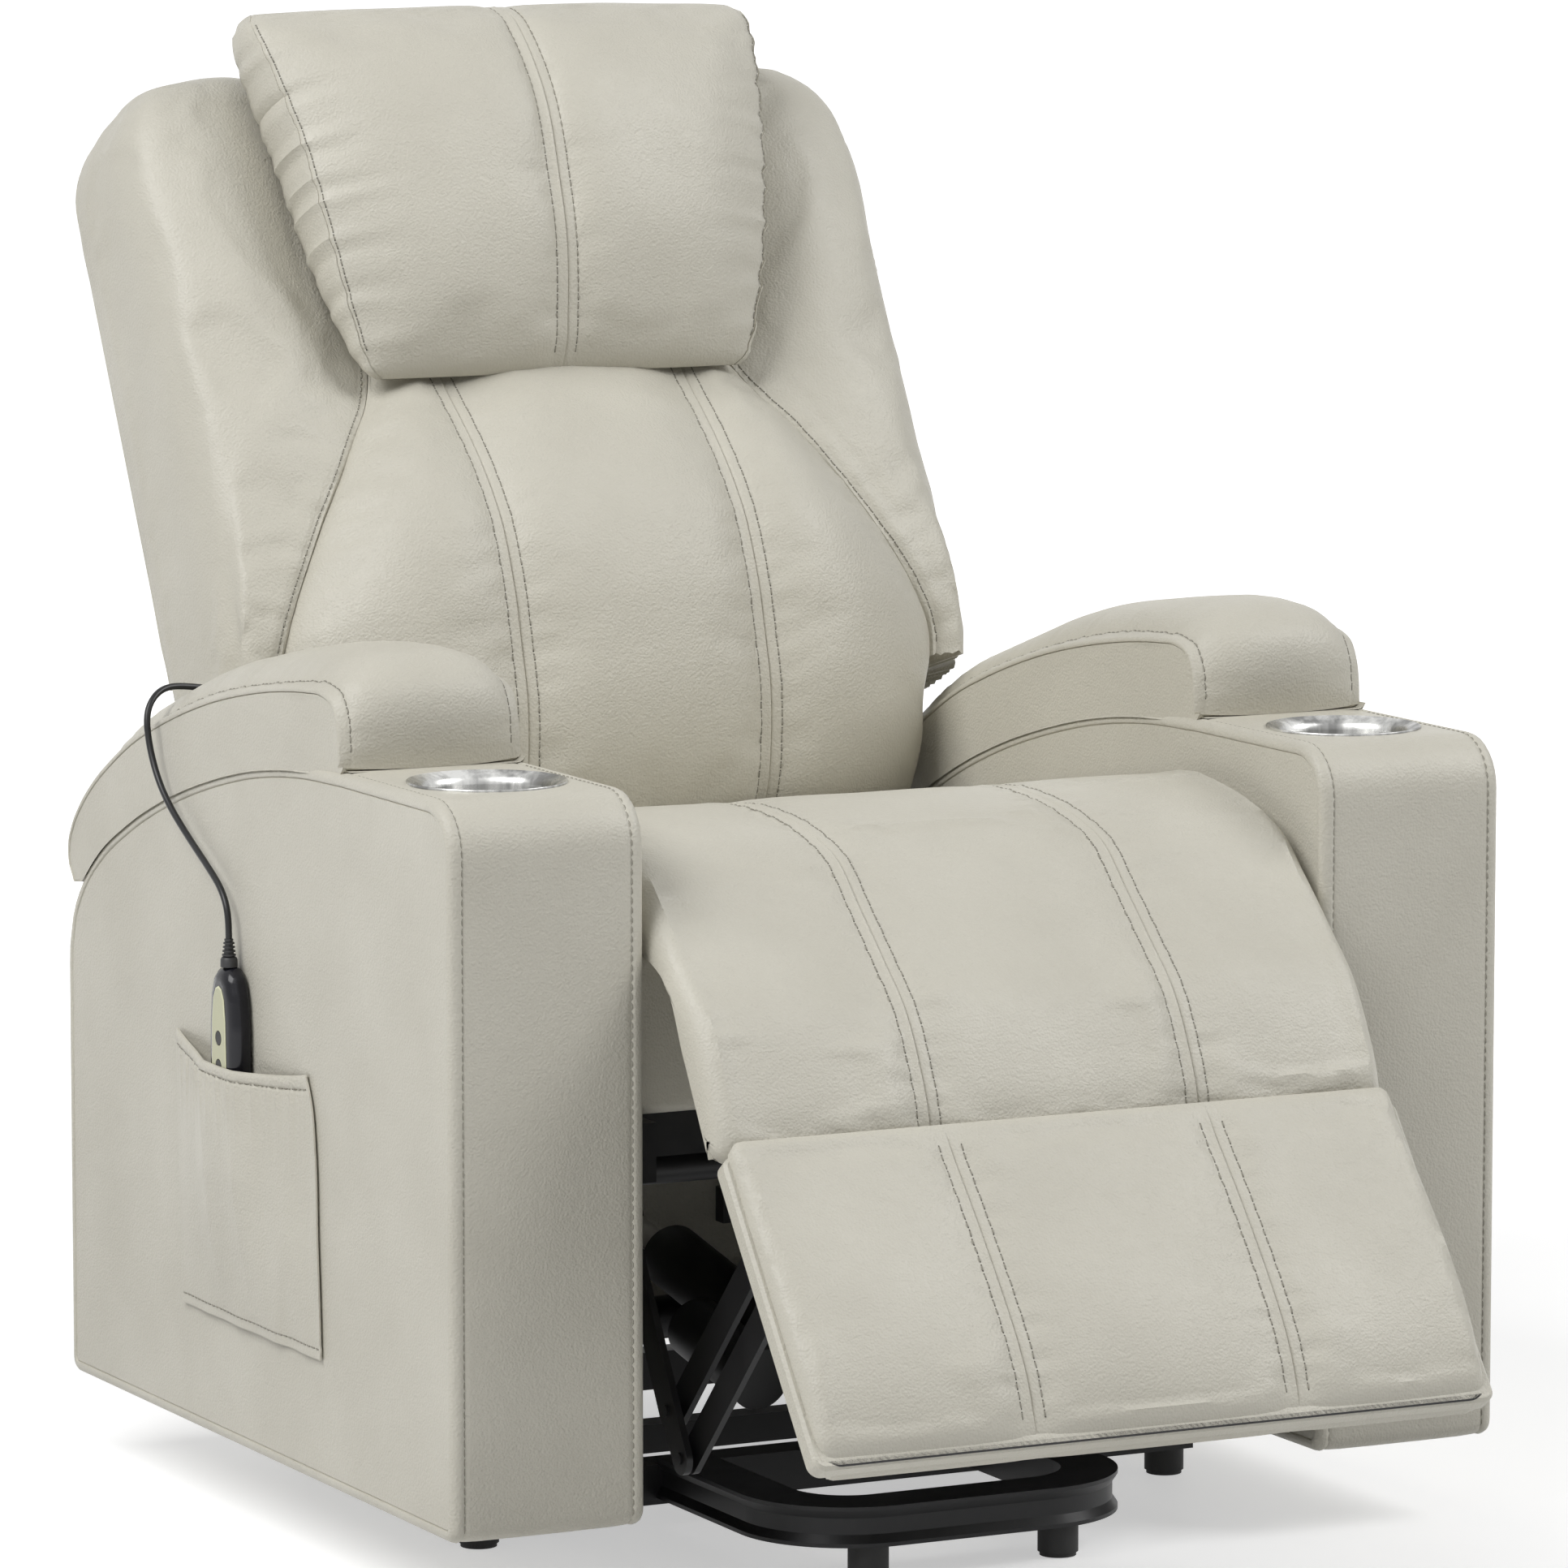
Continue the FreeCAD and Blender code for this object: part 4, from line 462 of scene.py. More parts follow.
def plainFinish(name, dark, light, rough, metallic=0.0, size=900, depth=0.1, coat=0.0, coatRough=0.1,
                specular=0.5):
    material, tree, shader, places = newMaterial(name)
    texture = placeGroup(tree, fineTexture, places, Size=size)
    twoColours(tree, texture.outputs["Wear"], 0.35, 0.7, dark, light, shader.inputs["Base Color"])
    rangeTo(tree, texture.outputs["Wear"], 0.3, 0.75, rough * 0.88, rough * 1.15,
            shader.inputs["Roughness"])
    bumpFrom(tree, texture.outputs["Height"], shader, depth, 0.0003)
    shader.inputs["Metallic"].default_value = metallic
    shader.inputs["Specular IOR Level"].default_value = specular
    shader.inputs["Coat Weight"].default_value = coat
    shader.inputs["Coat Roughness"].default_value = coatRough
    return material


def brushedFinish(name, dark, light):
    # bright drawn metal: upright streaks that change its tone and roughness
    material, tree, shader, places = newMaterial(name)
    stretch = addNode(tree, "ShaderNodeMapping", Scale=(1, 1, 0.03))
    tree.links.new(places, stretch.inputs["Vector"])
    streaks = addNode(tree, "ShaderNodeTexNoise", Scale=34, Detail=4, Roughness=0.62)
    tree.links.new(stretch.outputs["Vector"], streaks.inputs["Vector"])
    twoColours(tree, streaks.outputs["Fac"], 0.4, 0.6, dark, light, shader.inputs["Base Color"])
    rangeTo(tree, streaks.outputs["Fac"], 0.3, 0.7, 0.34, 0.2, shader.inputs["Roughness"])
    shader.inputs["Metallic"].default_value = 0.95
    return material


coverLeather = leather("coverLeather", (0.555, 0.532, 0.458), (0.60, 0.577, 0.50), 520, 0.35, 0.5)
# thread: a little darker than the leather in its own colour, and darkened further as painted shade for the
# small shadows round each stitch
threadWithPaintedShade = plainFinish("thread_with_painted_shade", (0.27, 0.255, 0.21), (0.33, 0.315, 0.26), 0.6, size=2400, depth=0.3)
# needle holes: near-black discs of painted shade, standing for the shade inside each hole
needleHolePaintedShade = plainFinish("needleHolePaintedShade", (0.05, 0.046, 0.038), (0.08, 0.074, 0.06), 0.8)
frameSteel = plainFinish("powderCoatedSteel", (0.009, 0.009, 0.010), (0.015, 0.015, 0.016), 0.4, depth=0.16,
                         specular=0.32)
rodSteel = plainFinish("groundRod", (0.62, 0.62, 0.63), (0.74, 0.74, 0.75), 0.16, metallic=1.0, depth=0.03)
cupSteel = brushedFinish("brushedCup", (0.24, 0.24, 0.235), (0.74, 0.74, 0.72))
hardPlastic = plainFinish("texturedPlastic", (0.017, 0.017, 0.018), (0.026, 0.026, 0.027), 0.48, depth=0.25)
handsetGloss = plainFinish("glossPlastic", (0.004, 0.004, 0.007), (0.006, 0.006, 0.010), 0.24,
                           size=300, depth=0.02, coat=0.22, coatRough=0.1, specular=0.22)
faceFilm = plainFinish("labelFilm", (0.47, 0.47, 0.31), (0.52, 0.52, 0.35), 0.38, size=1400, depth=0.06)
borderFilm = plainFinish("labelBorder", (0.72, 0.72, 0.5), (0.78, 0.78, 0.56), 0.38, size=1400, depth=0.06)
buttonRubber = plainFinish("buttonRubber", (0.012, 0.012, 0.012), (0.02, 0.02, 0.02), 0.55, depth=0.2)
footRubber = plainFinish("footRubber", (0.012, 0.012, 0.012), (0.03, 0.03, 0.029), 0.7, depth=0.4)
beltWeave = plainFinish("beltWeave", (0.03, 0.03, 0.032), (0.05, 0.05, 0.052), 0.85, size=1600, depth=0.6)
liningCloth = plainFinish("liningCloth", (0.02, 0.02, 0.021), (0.035, 0.035, 0.036), 0.9, size=1900,
                          depth=0.6)
cordSheath = plainFinish("cordSheath", (0.008, 0.008, 0.009), (0.013, 0.013, 0.014), 0.34, depth=0.05,
                         coat=0.1, specular=0.3)
print("materials made")


# Stitches: short sunk threads with a needle hole at each end. The thread is coloured darker than its own
# tone as painted shade, and each hole is a flat dark disc of painted shade.
stitchSpec = {"pitch": 6.8, "length": 4.3, "thick": 0.55, "rise": 0.35, "hole": 0.62, "holeLift": 0.16,
              "holeStretch": 1.25}


def stitchPoints(line, normals):
    spec = stitchSpec
    run = runOf(line) * 1000
    count = max(1, int(run[-1] / spec["pitch"]))
    middles = (np.arange(count) + 0.5) * run[-1] / count
    half = spec["length"] / 2

    def at(places, values):
        return np.stack([np.interp(places, run, values[:, k]) for k in range(3)], 1)
    ends = [at(middles + part * half, line) for part in (-1, -0.6, 0.6, 1)]
    up = at(middles, normals)
    up /= np.linalg.norm(up, axis=1)[:, None]
    way = ends[3] - ends[0]
    way /= np.linalg.norm(way, axis=1)[:, None]
    side = np.cross(way, up)
    return ends, up, way, side


def sew(name, rows, body=None):
    spec = stitchSpec
    thick, rise = spec["thick"] / 1000, spec["rise"] / 1000
    points, faces, slots = [], [], []
    for line, normals in rows:
        ends, up, way, side = stitchPoints(line, normals)
        for number in range(len(up)):
            base = len(points)
            for place, size, lift in zip(ends, (0.35, 1, 1, 0.35), (-0.25, 1, 1, -0.25)):
                middle = place[number] + up[number] * rise * lift
                for a, b in ((1, -0.2), (0.45, 0.8), (-0.45, 0.8), (-1, -0.2)):
                    points.append(middle + (side[number] * a + up[number] * b) * thick * size)
            for ring in range(3):
                for k in range(3):
                    a = base + ring * 4 + k
                    faces.append((a, a + 1, a + 5, a + 4))
                    slots.append(0)
            # each hole: a flat near-black disc lifted just off the leather, painted shade of the hole
            hole = spec["hole"] / 1000
            for place in (ends[0], ends[3]):
                base = len(points)
                middle = place[number] + up[number] * spec["holeLift"] / 1000
                along, across = way[number] * spec["holeStretch"], side[number]
                for k in range(6):
                    turn = k * math.pi / 3
                    points.append(middle + (along * math.cos(turn) + across * math.sin(turn)) * hole)
                faces.append(tuple(range(base, base + 6)))
                slots.append(1)
    obj = addMesh(name, points, faces, threadWithPaintedShade, body, crease=70)
    obj.data.materials.append(needleHolePaintedShade)
    obj.data.polygons.foreach_set("material_index", slots)
    return obj


def gridNormals(grid):
    along = np.gradient(grid, axis=0)
    across = np.gradient(grid, axis=1)
    normal = np.cross(across, along)
    normal /= np.maximum(np.linalg.norm(normal, axis=-1, keepdims=True), 1e-12)
    return normal


def facingNormals(grid, outward, spot):
    # the grid's normals, turned so that they point outward at one spot
    normal = gridNormals(grid)
    return normal if np.mean(normal[spot] @ np.array(outward, float)) >= 0 else -normal


seatOutward = (0, -0.4, 1)
backOutward = (0, -1, 0.4)


def columnRows(grid, xs, seams, rows, outward):
    # the two stitched rows beside each seam, read from the cover's own grid
    normal = facingNormals(grid, outward, grid.shape[0] // 2)
    found = []
    for seam in seams:
        for side in (-stitchOffset, stitchOffset):
            c = int(np.argmin(np.abs(xs - seam - side)))
            found.append((grid[rows, c], normal[rows, c]))
    return found


# The seat and calf cover: one long padded cover over the seat, round the knee and down the calf.
chaise = {
    "half": 269, "seams": (-102, 114), "edge": 18, "crown": 1.5, "rows": 160, "step": 11,
    "calfLean": 30.6,
    "top": [(553, 452), (557, 466), (551, 479), (530, 489), (420, 511.5), (300, 533), (225, 545.5),
            (176, 551), (140, 550.5), (108, 547.5), (78.5, 541), (40.5, 527.5), (3, 496), (-33, 465),
            (-68, 432.5), (-90, 396)],
    "calf": [(149, 31), (159, 27), (164.5, 18), (163, 7)],
    "innerSeat": [(548, 449), (400, 462), (200, 468.5), (70, 469.5), (34, 471), (12, 468)],
    "innerCalf": [(24, 6), (80, 7), (158, 7)],
    "puckers": {"tall": 0.55, "wave": 23, "slant": 0.12, "seed": 11, "seedStep": 7},
    "lumpTall": 0.8, "lumps": (170, 5), "pressure": 3, "cap": 3.2,
}


def panelCrown(xs, spec, power=2.4):
    edges = np.array([-spec["half"], *spec["seams"], spec["half"]], float)
    spot = np.clip(np.searchsorted(edges, xs, side="right") - 1, 0, len(edges) - 2)
    share = (xs - edges[spot]) / (edges[spot + 1] - edges[spot])
    return spec["crown"] * (1 - np.abs(2 * share - 1) ** power)


def seamPuckers(xs, run, seams, tall, wave, slant, seed, seedStep):
    # small creases that run out from each side of a seam and fade
    total = 0
    for number, seam in enumerate(seams):
        for side in (-1, 1):
            away = (xs - seam) * side
            fade = np.where(away > 5, np.exp(-((away - 12) / 13.0) ** 2), 0)
            crease = ripple(run[:, None] + slant * away, wave, seed + number * seedStep + side)
            total = total + tall * crease * fade
    return total


def quilted(xs, run, spec):
    # the crowned panels between the seams, with the seams' folds and creases
    height = sum(seamHeight(xs - seam) for seam in spec["seams"]) + panelCrown(xs, spec)
    height = height + seamPuckers(xs, run, spec["seams"], **spec["puckers"])
    return height + spec["lumpTall"] * lumps(xs, run[:, None], *spec["lumps"])


def overLine(xs, line, height, inner):
    # a cover raised over a side line, and its rear on the inner line
    front = np.empty(height.shape + (3,))
    front[..., 0] = xs
    front[..., 1:] = line[:, None, :] + sideNormals(line)[:, None, :] * height[..., None]
    rear = np.empty_like(front)
    rear[..., 0] = xs
    rear[..., 1:] = inner[:, None, :]
    return chairMetres(front), chairMetres(rear)


def makeChaise():
    spec = chaise
    calf = leaning(knee, spec["calfLean"])
    line = smoothLine(spec["top"] + [calf(*p) for p in spec["calf"]], spec["rows"])
    inner = smoothLine(spec["innerSeat"] + [calf(*p) for p in spec["innerCalf"]], spec["rows"])
    xs = columnsAcross(-spec["half"], spec["half"], spec["seams"], spec["step"])
    height = quilted(xs, runOf(line), spec) - quarterRound(spec["half"] - np.abs(xs), spec["edge"])
    front, rear = overLine(xs, line, height, inner)
    held = heldMask(np.broadcast_to(xs, height.shape), spec["seams"], ends=(3, 3), sides=(4, 4))
    front = fillCover(front, held, spec["pressure"], spec["cap"])
    cover = closedForm("seat_and_calf_cover", front, rear, coverLeather)
    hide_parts("seat_cushion", "calf_pad")
    threads = sew("seat_and_calf_stitches",
                  columnRows(front, xs, spec["seams"], slice(4, spec["rows"] - 3), seatOutward))
    middle = chairMetres((0, knee[0], knee[1]))
    for piece in (cover, threads):
        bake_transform(piece)


seatBase = {"half": 265, "front": 38, "rear": 545, "low": 350.5, "high": 467.5, "rearHigh": 446, "round": 8,
            "bend": (200, 60), "bevel": 6}


def makeSeatBase():
    spec = seatBase
    r = spec["round"]
    half, bevel = spec["half"], spec["bevel"]
    loop = roundedLoop([(spec["front"], spec["low"], r), (spec["front"], spec["high"], r),
                        (spec["bend"][0], spec["high"], spec["bend"][1]),
                        (spec["rear"], spec["rearHigh"], r), (spec["rear"], spec["low"], r)], 20)
    stations = [(-half, bevel), (bevel - half, 0), (half - bevel, 0), (half, bevel)]
    base = acrossLoops("seat_box", loop, stations, coverLeather, body="chassis")


def roundedLoop(corners, step):
    # a closed side outline from corners (y, z, radius)
    corners = [np.array(c, float) for c in corners]
    points = []
    count = len(corners)
    for number, corner in enumerate(corners):
        here, radius = corner[:2], corner[2]
        back = corners[number - 1][:2] - here
        ahead = corners[(number + 1) % count][:2] - here
        back /= np.linalg.norm(back)
        ahead /= np.linalg.norm(ahead)
        if radius < 0.05:
            points.append(here)
            continue
        half = math.acos(np.clip(back @ ahead, -1, 1)) / 2
        reach = radius / math.tan(half)
        middle = back + ahead
        middle = here + middle / np.linalg.norm(middle) * radius / math.sin(half)
        first, last = here + back * reach - middle, here + ahead * reach - middle
        start = math.atan2(first[1], first[0])
        turn = math.atan2(first[0] * last[1] - first[1] * last[0], first @ last)
        for k in range(9):
            angle = start + turn * k / 8
            points.append(middle + radius * np.array([math.cos(angle), math.sin(angle)]))
    closed = np.array(points + points[:1])
    run = runOf(closed)
    full = []
    for k in range(len(closed) - 1):
        parts = max(1, int(round((run[k + 1] - run[k]) / step)))
        for p in range(parts):
            full.append(closed[k] + (closed[k + 1] - closed[k]) * p / parts)
    return np.array(full)


def loopNormals(loop):
    # outward, for a loop that runs either way
    way = np.roll(loop, -1, 0) - np.roll(loop, 1, 0)
    way /= np.maximum(np.linalg.norm(way, axis=1), 1e-9)[:, None]
    normals = np.stack([way[:, 1], -way[:, 0]], 1)
    area = np.sum(loop[:, 0] * np.roll(loop[:, 1], -1) - loop[:, 1] * np.roll(loop[:, 0], -1))
    return normals if area > 0 else -normals


def acrossLoops(name, loop, stations, material, **more):
    # the same outline at each station (x, inset)
    normals = loopNormals(loop)
    loops = []
    for x, inset in stations:
        loops.append(np.column_stack([np.full(len(loop), x), loop - normals * inset]))
    return acrossForm(name, chairMetres(loops), material, **more)


makeChaise()
makeSeatBase()
print("seat and calf done")


# The foot pad on its board, which is wrapped in the same cover and shows as a thin edge.
footPad = {
    "half": 266, "seams": (-98, 112), "crown": 3.5, "rows": 62, "step": 11,
    "boardStart": (-102, 336), "boardLean": 37,
    "front": [(-8, 15), (-9, 20), (-3, 22.3), (10, 24.5), (45, 28), (89, 31.5), (135, 33.5), (170, 33),
              (197, 29.5), (216, 24), (230, 17), (238.5, 8.5), (242, 2), (243, -2)],
    "rear": [(-6, 14.6), (-1, 14.3), (60, 14.3), (130, 14.3), (200, 14.3), (236, 14.3),
             (241.4, 12.5), (241.7, 4), (241.8, -1.4)],
    "puckers": {"tall": 0.55, "wave": 23, "slant": 0.12, "seed": 31, "seedStep": 7},
    "lumpTall": 0.6, "lumps": (150, 8), "pressure": 3, "cap": 3.2,
    # along the cover: how much of the quilting shows, and how far the sides are rounded
    "show": ((6, 0), (34, 1), (232, 1), (256, 0.1)), "fall": ((0, 6), (30, 15), (225, 15), (262, 6)),
    # corners: how long the cover narrows at its low and high ends, and by how much
    "narrow": ((34, 9), (14, 5)),
    "boardHalf": 270.5, "boardEnds": (-1.5, 241.3), "boardCorner": 9, "boardRear": -1.2, "boardFront": 14,
}


def makeFootPad():
    spec = footPad
    place = leaning(spec["boardStart"], spec["boardLean"])
    line = smoothLine([place(*p) for p in spec["front"]], spec["rows"])
    inner = evenly(np.array([place(*p) for p in spec["rear"]]), spec["rows"])
    half = spec["half"]
    xs = columnsAcross(-half, half, spec["seams"], spec["step"], edges=(0, 1, 2.5, 5, 9, 13))
    run = runOf(line)
    show, fall = (np.interp(run, *zip(*spec[key])) for key in ("show", "fall"))
    height = quilted(xs, run, spec) * show[:, None]
    height -= np.array([quarterRound(half - np.abs(xs), drop) for drop in fall])
    (lowRun, lowIn), (highRun, highIn) = spec["narrow"]
    narrow = (lowIn * np.clip((run - run[-1] + lowRun) / lowRun, 0, 1) ** 2
              + highIn * np.clip((highRun - run) / highRun, 0, 1) ** 2)
    front, rear = overLine(xs * (1 - narrow[:, None] / half), line, height, inner)
    held = heldMask(np.broadcast_to(xs, height.shape), spec["seams"], (4, int(np.sum(run > 236))), (3, 3))
    front = fillCover(front, held, spec["pressure"], spec["cap"])
    cover = closedForm("foot_pad_cover", front, rear, coverLeather, body="footrest")
    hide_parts("footrest_pad")
    last = int(np.searchsorted(run, 244))
    sew("foot_pad_stitches", columnRows(front, xs, spec["seams"], slice(5, last), seatOutward), "footrest")
    corners = [(side * spec["boardHalf"], spec["boardEnds"][end], spec["boardCorner"])
               for side, end in ((-1, 0), (1, 0), (1, 1), (-1, 1))]
    outline = roundedLoop(corners, 14)
    normals = loopNormals(outline)
    loops = []
    low, high = spec["boardRear"], spec["boardFront"]
    for out, inset in ((low, 1.6), (low + 1.6, 0), (high - 2.4, 0), (high, 2.4)):
        flat = outline - normals * inset
        y, z = place(flat[:, 1], out)
        loops.append(np.column_stack([flat[:, 0], y, z]))
    acrossForm("foot_board_wrap", chairMetres(loops), coverLeather, body="footrest")


makeFootPad()
print("foot pad done")


# The back's centre cushion: three channels, widest at the waist, narrower behind the pillow.
backCentre = {
    "seam": 104, "rows": 86, "low": -8, "high": 640,
    # up, half width, front beside the seams, front where the wings join
    "table": [(-8, 244, 112, 70), (14, 249, 141, 92), (48, 257, 166, 118), (90, 265, 186, 127),
              (121, 276, 193, 131), (140, 278, 197, 134), (160, 273, 201, 140), (182, 264.5, 203, 144.5),
              (203, 254.5, 204, 148), (226, 242, 203, 150.5), (250, 228.5, 198, 151), (285, 207, 187, 150),
              (320, 186.5, 172, 146), (350, 167.5, 157, 139), (372, 158, 147, 131), (470, 158, 132, 122),
              (600, 158, 120, 110), (640, 158, 92, 84)],
    "topRows": [(651, 62), (655.5, 34), (655.5, 6), (649, 1.5)],
    "topInner": [(645, 40), (652.6, 38.5), (652.6, 3.4), (648, 3.4)],
    "rear": 38.5, "middleRise": 8, "sideRise": 6, "dive": (9, 2.4), "pressure": 3.4, "cap": 5,
    # columns of the outer channels, from the stitches to the wings
    "shares": (0.08, 0.17, 0.27, 0.37, 0.47, 0.57, 0.66, 0.74, 0.81, 0.87, 0.92, 0.955, 0.98, 1),
    "puckers": {"tall": 0.6, "wave": 24, "slant": 0.1, "seed": 51, "seedStep": 5},
}


def makeBackCentre():
    spec = backCentre
    seam = spec["seam"]
    ups = np.linspace(spec["low"], spec["high"], spec["rows"])
    table = np.array(spec["table"], float)
    half, face, edge = (through(table[:, 0], table[:, k], ups) for k in (1, 2, 3))
    join = seam + doubleSeam[-1, 0]
    fixed = columnsAcross(-join, join, (-seam, seam), 11, edges=(0,))
    half, face, edge = half[:, None], face[:, None], edge[:, None]
    right = join + (half - join) * np.array(spec["shares"])
    xs = np.concatenate([-right[:, ::-1], np.repeat(fixed[None, :], len(ups), 0), right], 1)
    away = np.abs(xs)
    share = np.clip((away - seam) / (half - seam), 0, 1)
    swell = spec["sideRise"] * np.sin(np.pi * share ** 0.8) * np.clip((half - seam) / 120, 0, 1)
    channel = edge + (face - edge) * (1 - share ** 2.3) ** 0.8 + swell
    middle = face + spec["middleRise"] * (1 - np.clip(away / seam, 0, 1) ** 2.2)
    out = np.where(away < seam, middle, channel) + seamHeight(xs - seam) + seamHeight(xs + seam)
    out += seamPuckers(xs, ups, (-seam, seam), **spec["puckers"])
    # the cover dives into the seam with the wings
    wide, deep = spec["dive"]
    out -= deep * np.clip(1 - (half - away) / wide, 0, 1) ** 2
    pull = np.exp(-((half - away - 15) / 13) ** 2)
    out += 0.8 * ripple(ups[:, None] + xs * 0.25, 31, 71) * pull
    out += 1.2 * lumps(xs, ups[:, None], 190, 14)
    inside = np.clip(xs, 1 - half, half - 1)
    inner = onBack(inside, np.maximum(ups, 6)[:, None], np.full_like(xs, spec["rear"]))
    over = np.array([onBack(xs[-1], up, out) for up, out in spec["topRows"]])
    under = np.array([onBack(inside[-1], up, out) for up, out in spec["topInner"]])
    front = chairMetres(np.concatenate([onBack(xs, ups[:, None], out), over]))
    rear = chairMetres(np.concatenate([inner, under]))
    xs = np.concatenate([xs, np.repeat(xs[-1:], len(over), 0)])
    held = heldMask(xs, (-seam, seam), ends=(2, len(over) + 2), sides=(3, 3))
    front = fillCover(front, held, spec["pressure"], spec["cap"])
    cover = closedForm("back_centre_cover", front, rear, coverLeather, body="back")
    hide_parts("back_cushion")
    keep = slice(2, int(np.searchsorted(ups, 560)))
    sew("back_centre_stitches", columnRows(front, xs[0], (-seam, seam), keep, backOutward), "back")


makeBackCentre()
print("back centre done")


# A wing each side of the back, wrapped round the edge of its shell, with a gathered underside.
wing = {
    # up, seam with the centre, seam out, crest x, crest out, outer edge
    "table": [(121, 276, 129, 296, 132, 318.5), (140, 278, 132, 299, 136, 319.8),
              (160, 273, 138.5, 297, 141, 319.8), (182, 264.5, 143, 293, 145, 319.8),
              (203, 254.5, 146.5, 288, 148, 319.8),
              (226, 242, 149, 281, 150, 319.8), (250, 228.5, 149.5, 272, 151.5, 319.8),
              (285, 207, 148.5, 258, 152, 319.8), (320, 186.5, 144.5, 247, 151.5, 319.8),
              (350, 167.5, 137, 239, 150.5, 319.8), (372, 158, 129, 234, 149.5, 319.8),
              (470, 158, 121, 232, 147, 319.8), (570, 158, 114, 232, 140, 319.8),
              (602, 158, 106, 228, 133, 313), (624, 158, 98, 220, 124, 300), (642, 158, 86, 210, 108, 279),
              (651, 158, 72, 204, 86, 258), (655, 158, 56, 200, 60, 240)],
    "rows": 92, "columns": 56, "fold": 6.2, "pressure": 0.9, "cap": 1.6,
    "shellStep": 172, "shellSide": 318.3,
    "underside": [(0, 14), (20, 6), (131, 0), (150, -3)],
    # up and furthest out, over the top edge of the shell and just above it
    "topRows": [(655.4, 90), (655.3, 5), (650, 1.5)], "topInner": [(653, 38.6), (653.1, 3.4), (648.6, 3.4)],
}


def makeWing(side):
    spec = wing
    table = np.array(spec["table"], float)
    first = np.linspace(table[0, 0], table[0, 0] + 9, 4)
    ups = np.concatenate([first, np.linspace(first[-1], table[-1, 0], spec["rows"] - 3)[1:]])
    seamX, seamOut, crestX, crestOut, outerX = (through(table[:, 0], table[:, k], ups) for k in range(1, 6))
    sections, backs = [], []
    for row, up in enumerate(ups):
        s, so, c, co, o = seamX[row], seamOut[row], crestX[row], crestOut[row], outerX[row]
        points = [(s - 1.2, so - 11), (s - 0.8, so - 3.6), (s + 0.6, so - 0.7), (s + 3, so + 0.9),
                  (s + 6, so + 0.8), (s + 10, so + 2.2),
                  (s + 0.62 * (c - s) + 4, so + 2.6 + 0.7 * (co - so - 2.6)), (c + 4, co),
                  (c + 0.5 * (o - c), 0.968 * co), (o - 14, 0.88 * co), (o - 4.5, 0.755 * co),
                  (o - 0.7, 0.6 * co), (o, 0.42 * co), (o, 22), (o - 1.4, 9), (o - 6.5, 2.4), (o - 13, 0.6)]
        sections.append(smoothLine(points, spec["columns"]))
        edge = min(o - 1.5, spec["shellSide"])
        if up > spec["shellStep"] + 1:
            hollow = [(s + 0.5, so - 16), (s + 1, 38.6), (edge, 38.6), (edge, 3.2), (edge - 11, 2.6)]
        else:
            hollow = [(s + 0.5, so - 16), (s + 1, 38.6), (o - 30, 30), (o - 14, 12), (o - 13, 3)]
        backs.append(evenly(np.array(hollow, float), spec["columns"]))
    sections, backs = np.array(sections), np.array(backs)
    xs, out = sections[..., 0], sections[..., 1]
    lift = np.interp(out, *zip(*spec["underside"]))
    rise = (ups[:, None] - ups[0]) / (ups[-1] - ups[0])
    gather = 1.6 * ripple(xs * 1.3 + out, 13, 85) * np.exp(-(ups[:, None] - ups[0]) / 7)
    up = ups[:, None] + lift * (1 - rise) ** 6 + gather * np.clip(out / 40, 0, 1)
    gap = xs - seamX[:, None]
    onFront = np.clip((out - seamOut[:, None] + 12) / 6, 0, 1)
    pull = np.exp(-((gap - 15) / 12) ** 2) * onFront
    out = out + 0.9 * ripple(ups[:, None] - 0.3 * gap, 27, 81) * pull
    out = out + 1.3 * lumps(xs, ups[:, None], 160, 23) * np.clip((out - 20) / 60, 0, 1)
    out = out - 0.8 * np.exp(-((gap - spec["fold"]) / 1.6) ** 2) * onFront
    innerUp = np.minimum(up + 1.5 * (1 - rise) ** 6, spec["topInner"][0][0] - 0.1)
    over = [onBack(xs[-1] * side, high, np.minimum(out[-1], reach)) for high, reach in spec["topRows"]]
    under = [onBack(backs[-1, :, 0] * side, high, np.minimum(backs[-1, :, 1], reach))
             for high, reach in spec["topInner"]]
    front = chairMetres(np.concatenate([onBack(xs * side, up, out), over]))
    rear = chairMetres(np.concatenate([onBack(backs[..., 0] * side, innerUp, backs[..., 1]), under]))
    held = heldMask(front[..., 0], (), ends=(3, len(over) + 3), sides=(9, 8))
    front = fillCover(front, held, spec["pressure"], spec["cap"])
    name = sideNames[side]
    cover = closedForm(name + "_wing_cover", front, rear, coverLeather, body="back")
    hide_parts(name + "_back_wing")
    normal = facingNormals(front, backOutward, (40, 20))
    near = slice(0, 18)

    def atFold(grid):
        return np.array([[np.interp(spec["fold"], gap[row, near], grid[row, near, k]) for k in range(3)]
                         for row in range(3, int(np.searchsorted(ups, 430)))])
    sew(name + "_wing_stitches", [(atFold(front), atFold(normal))], "back")


for side in (-1, 1):
    makeWing(side)
print("wings done")


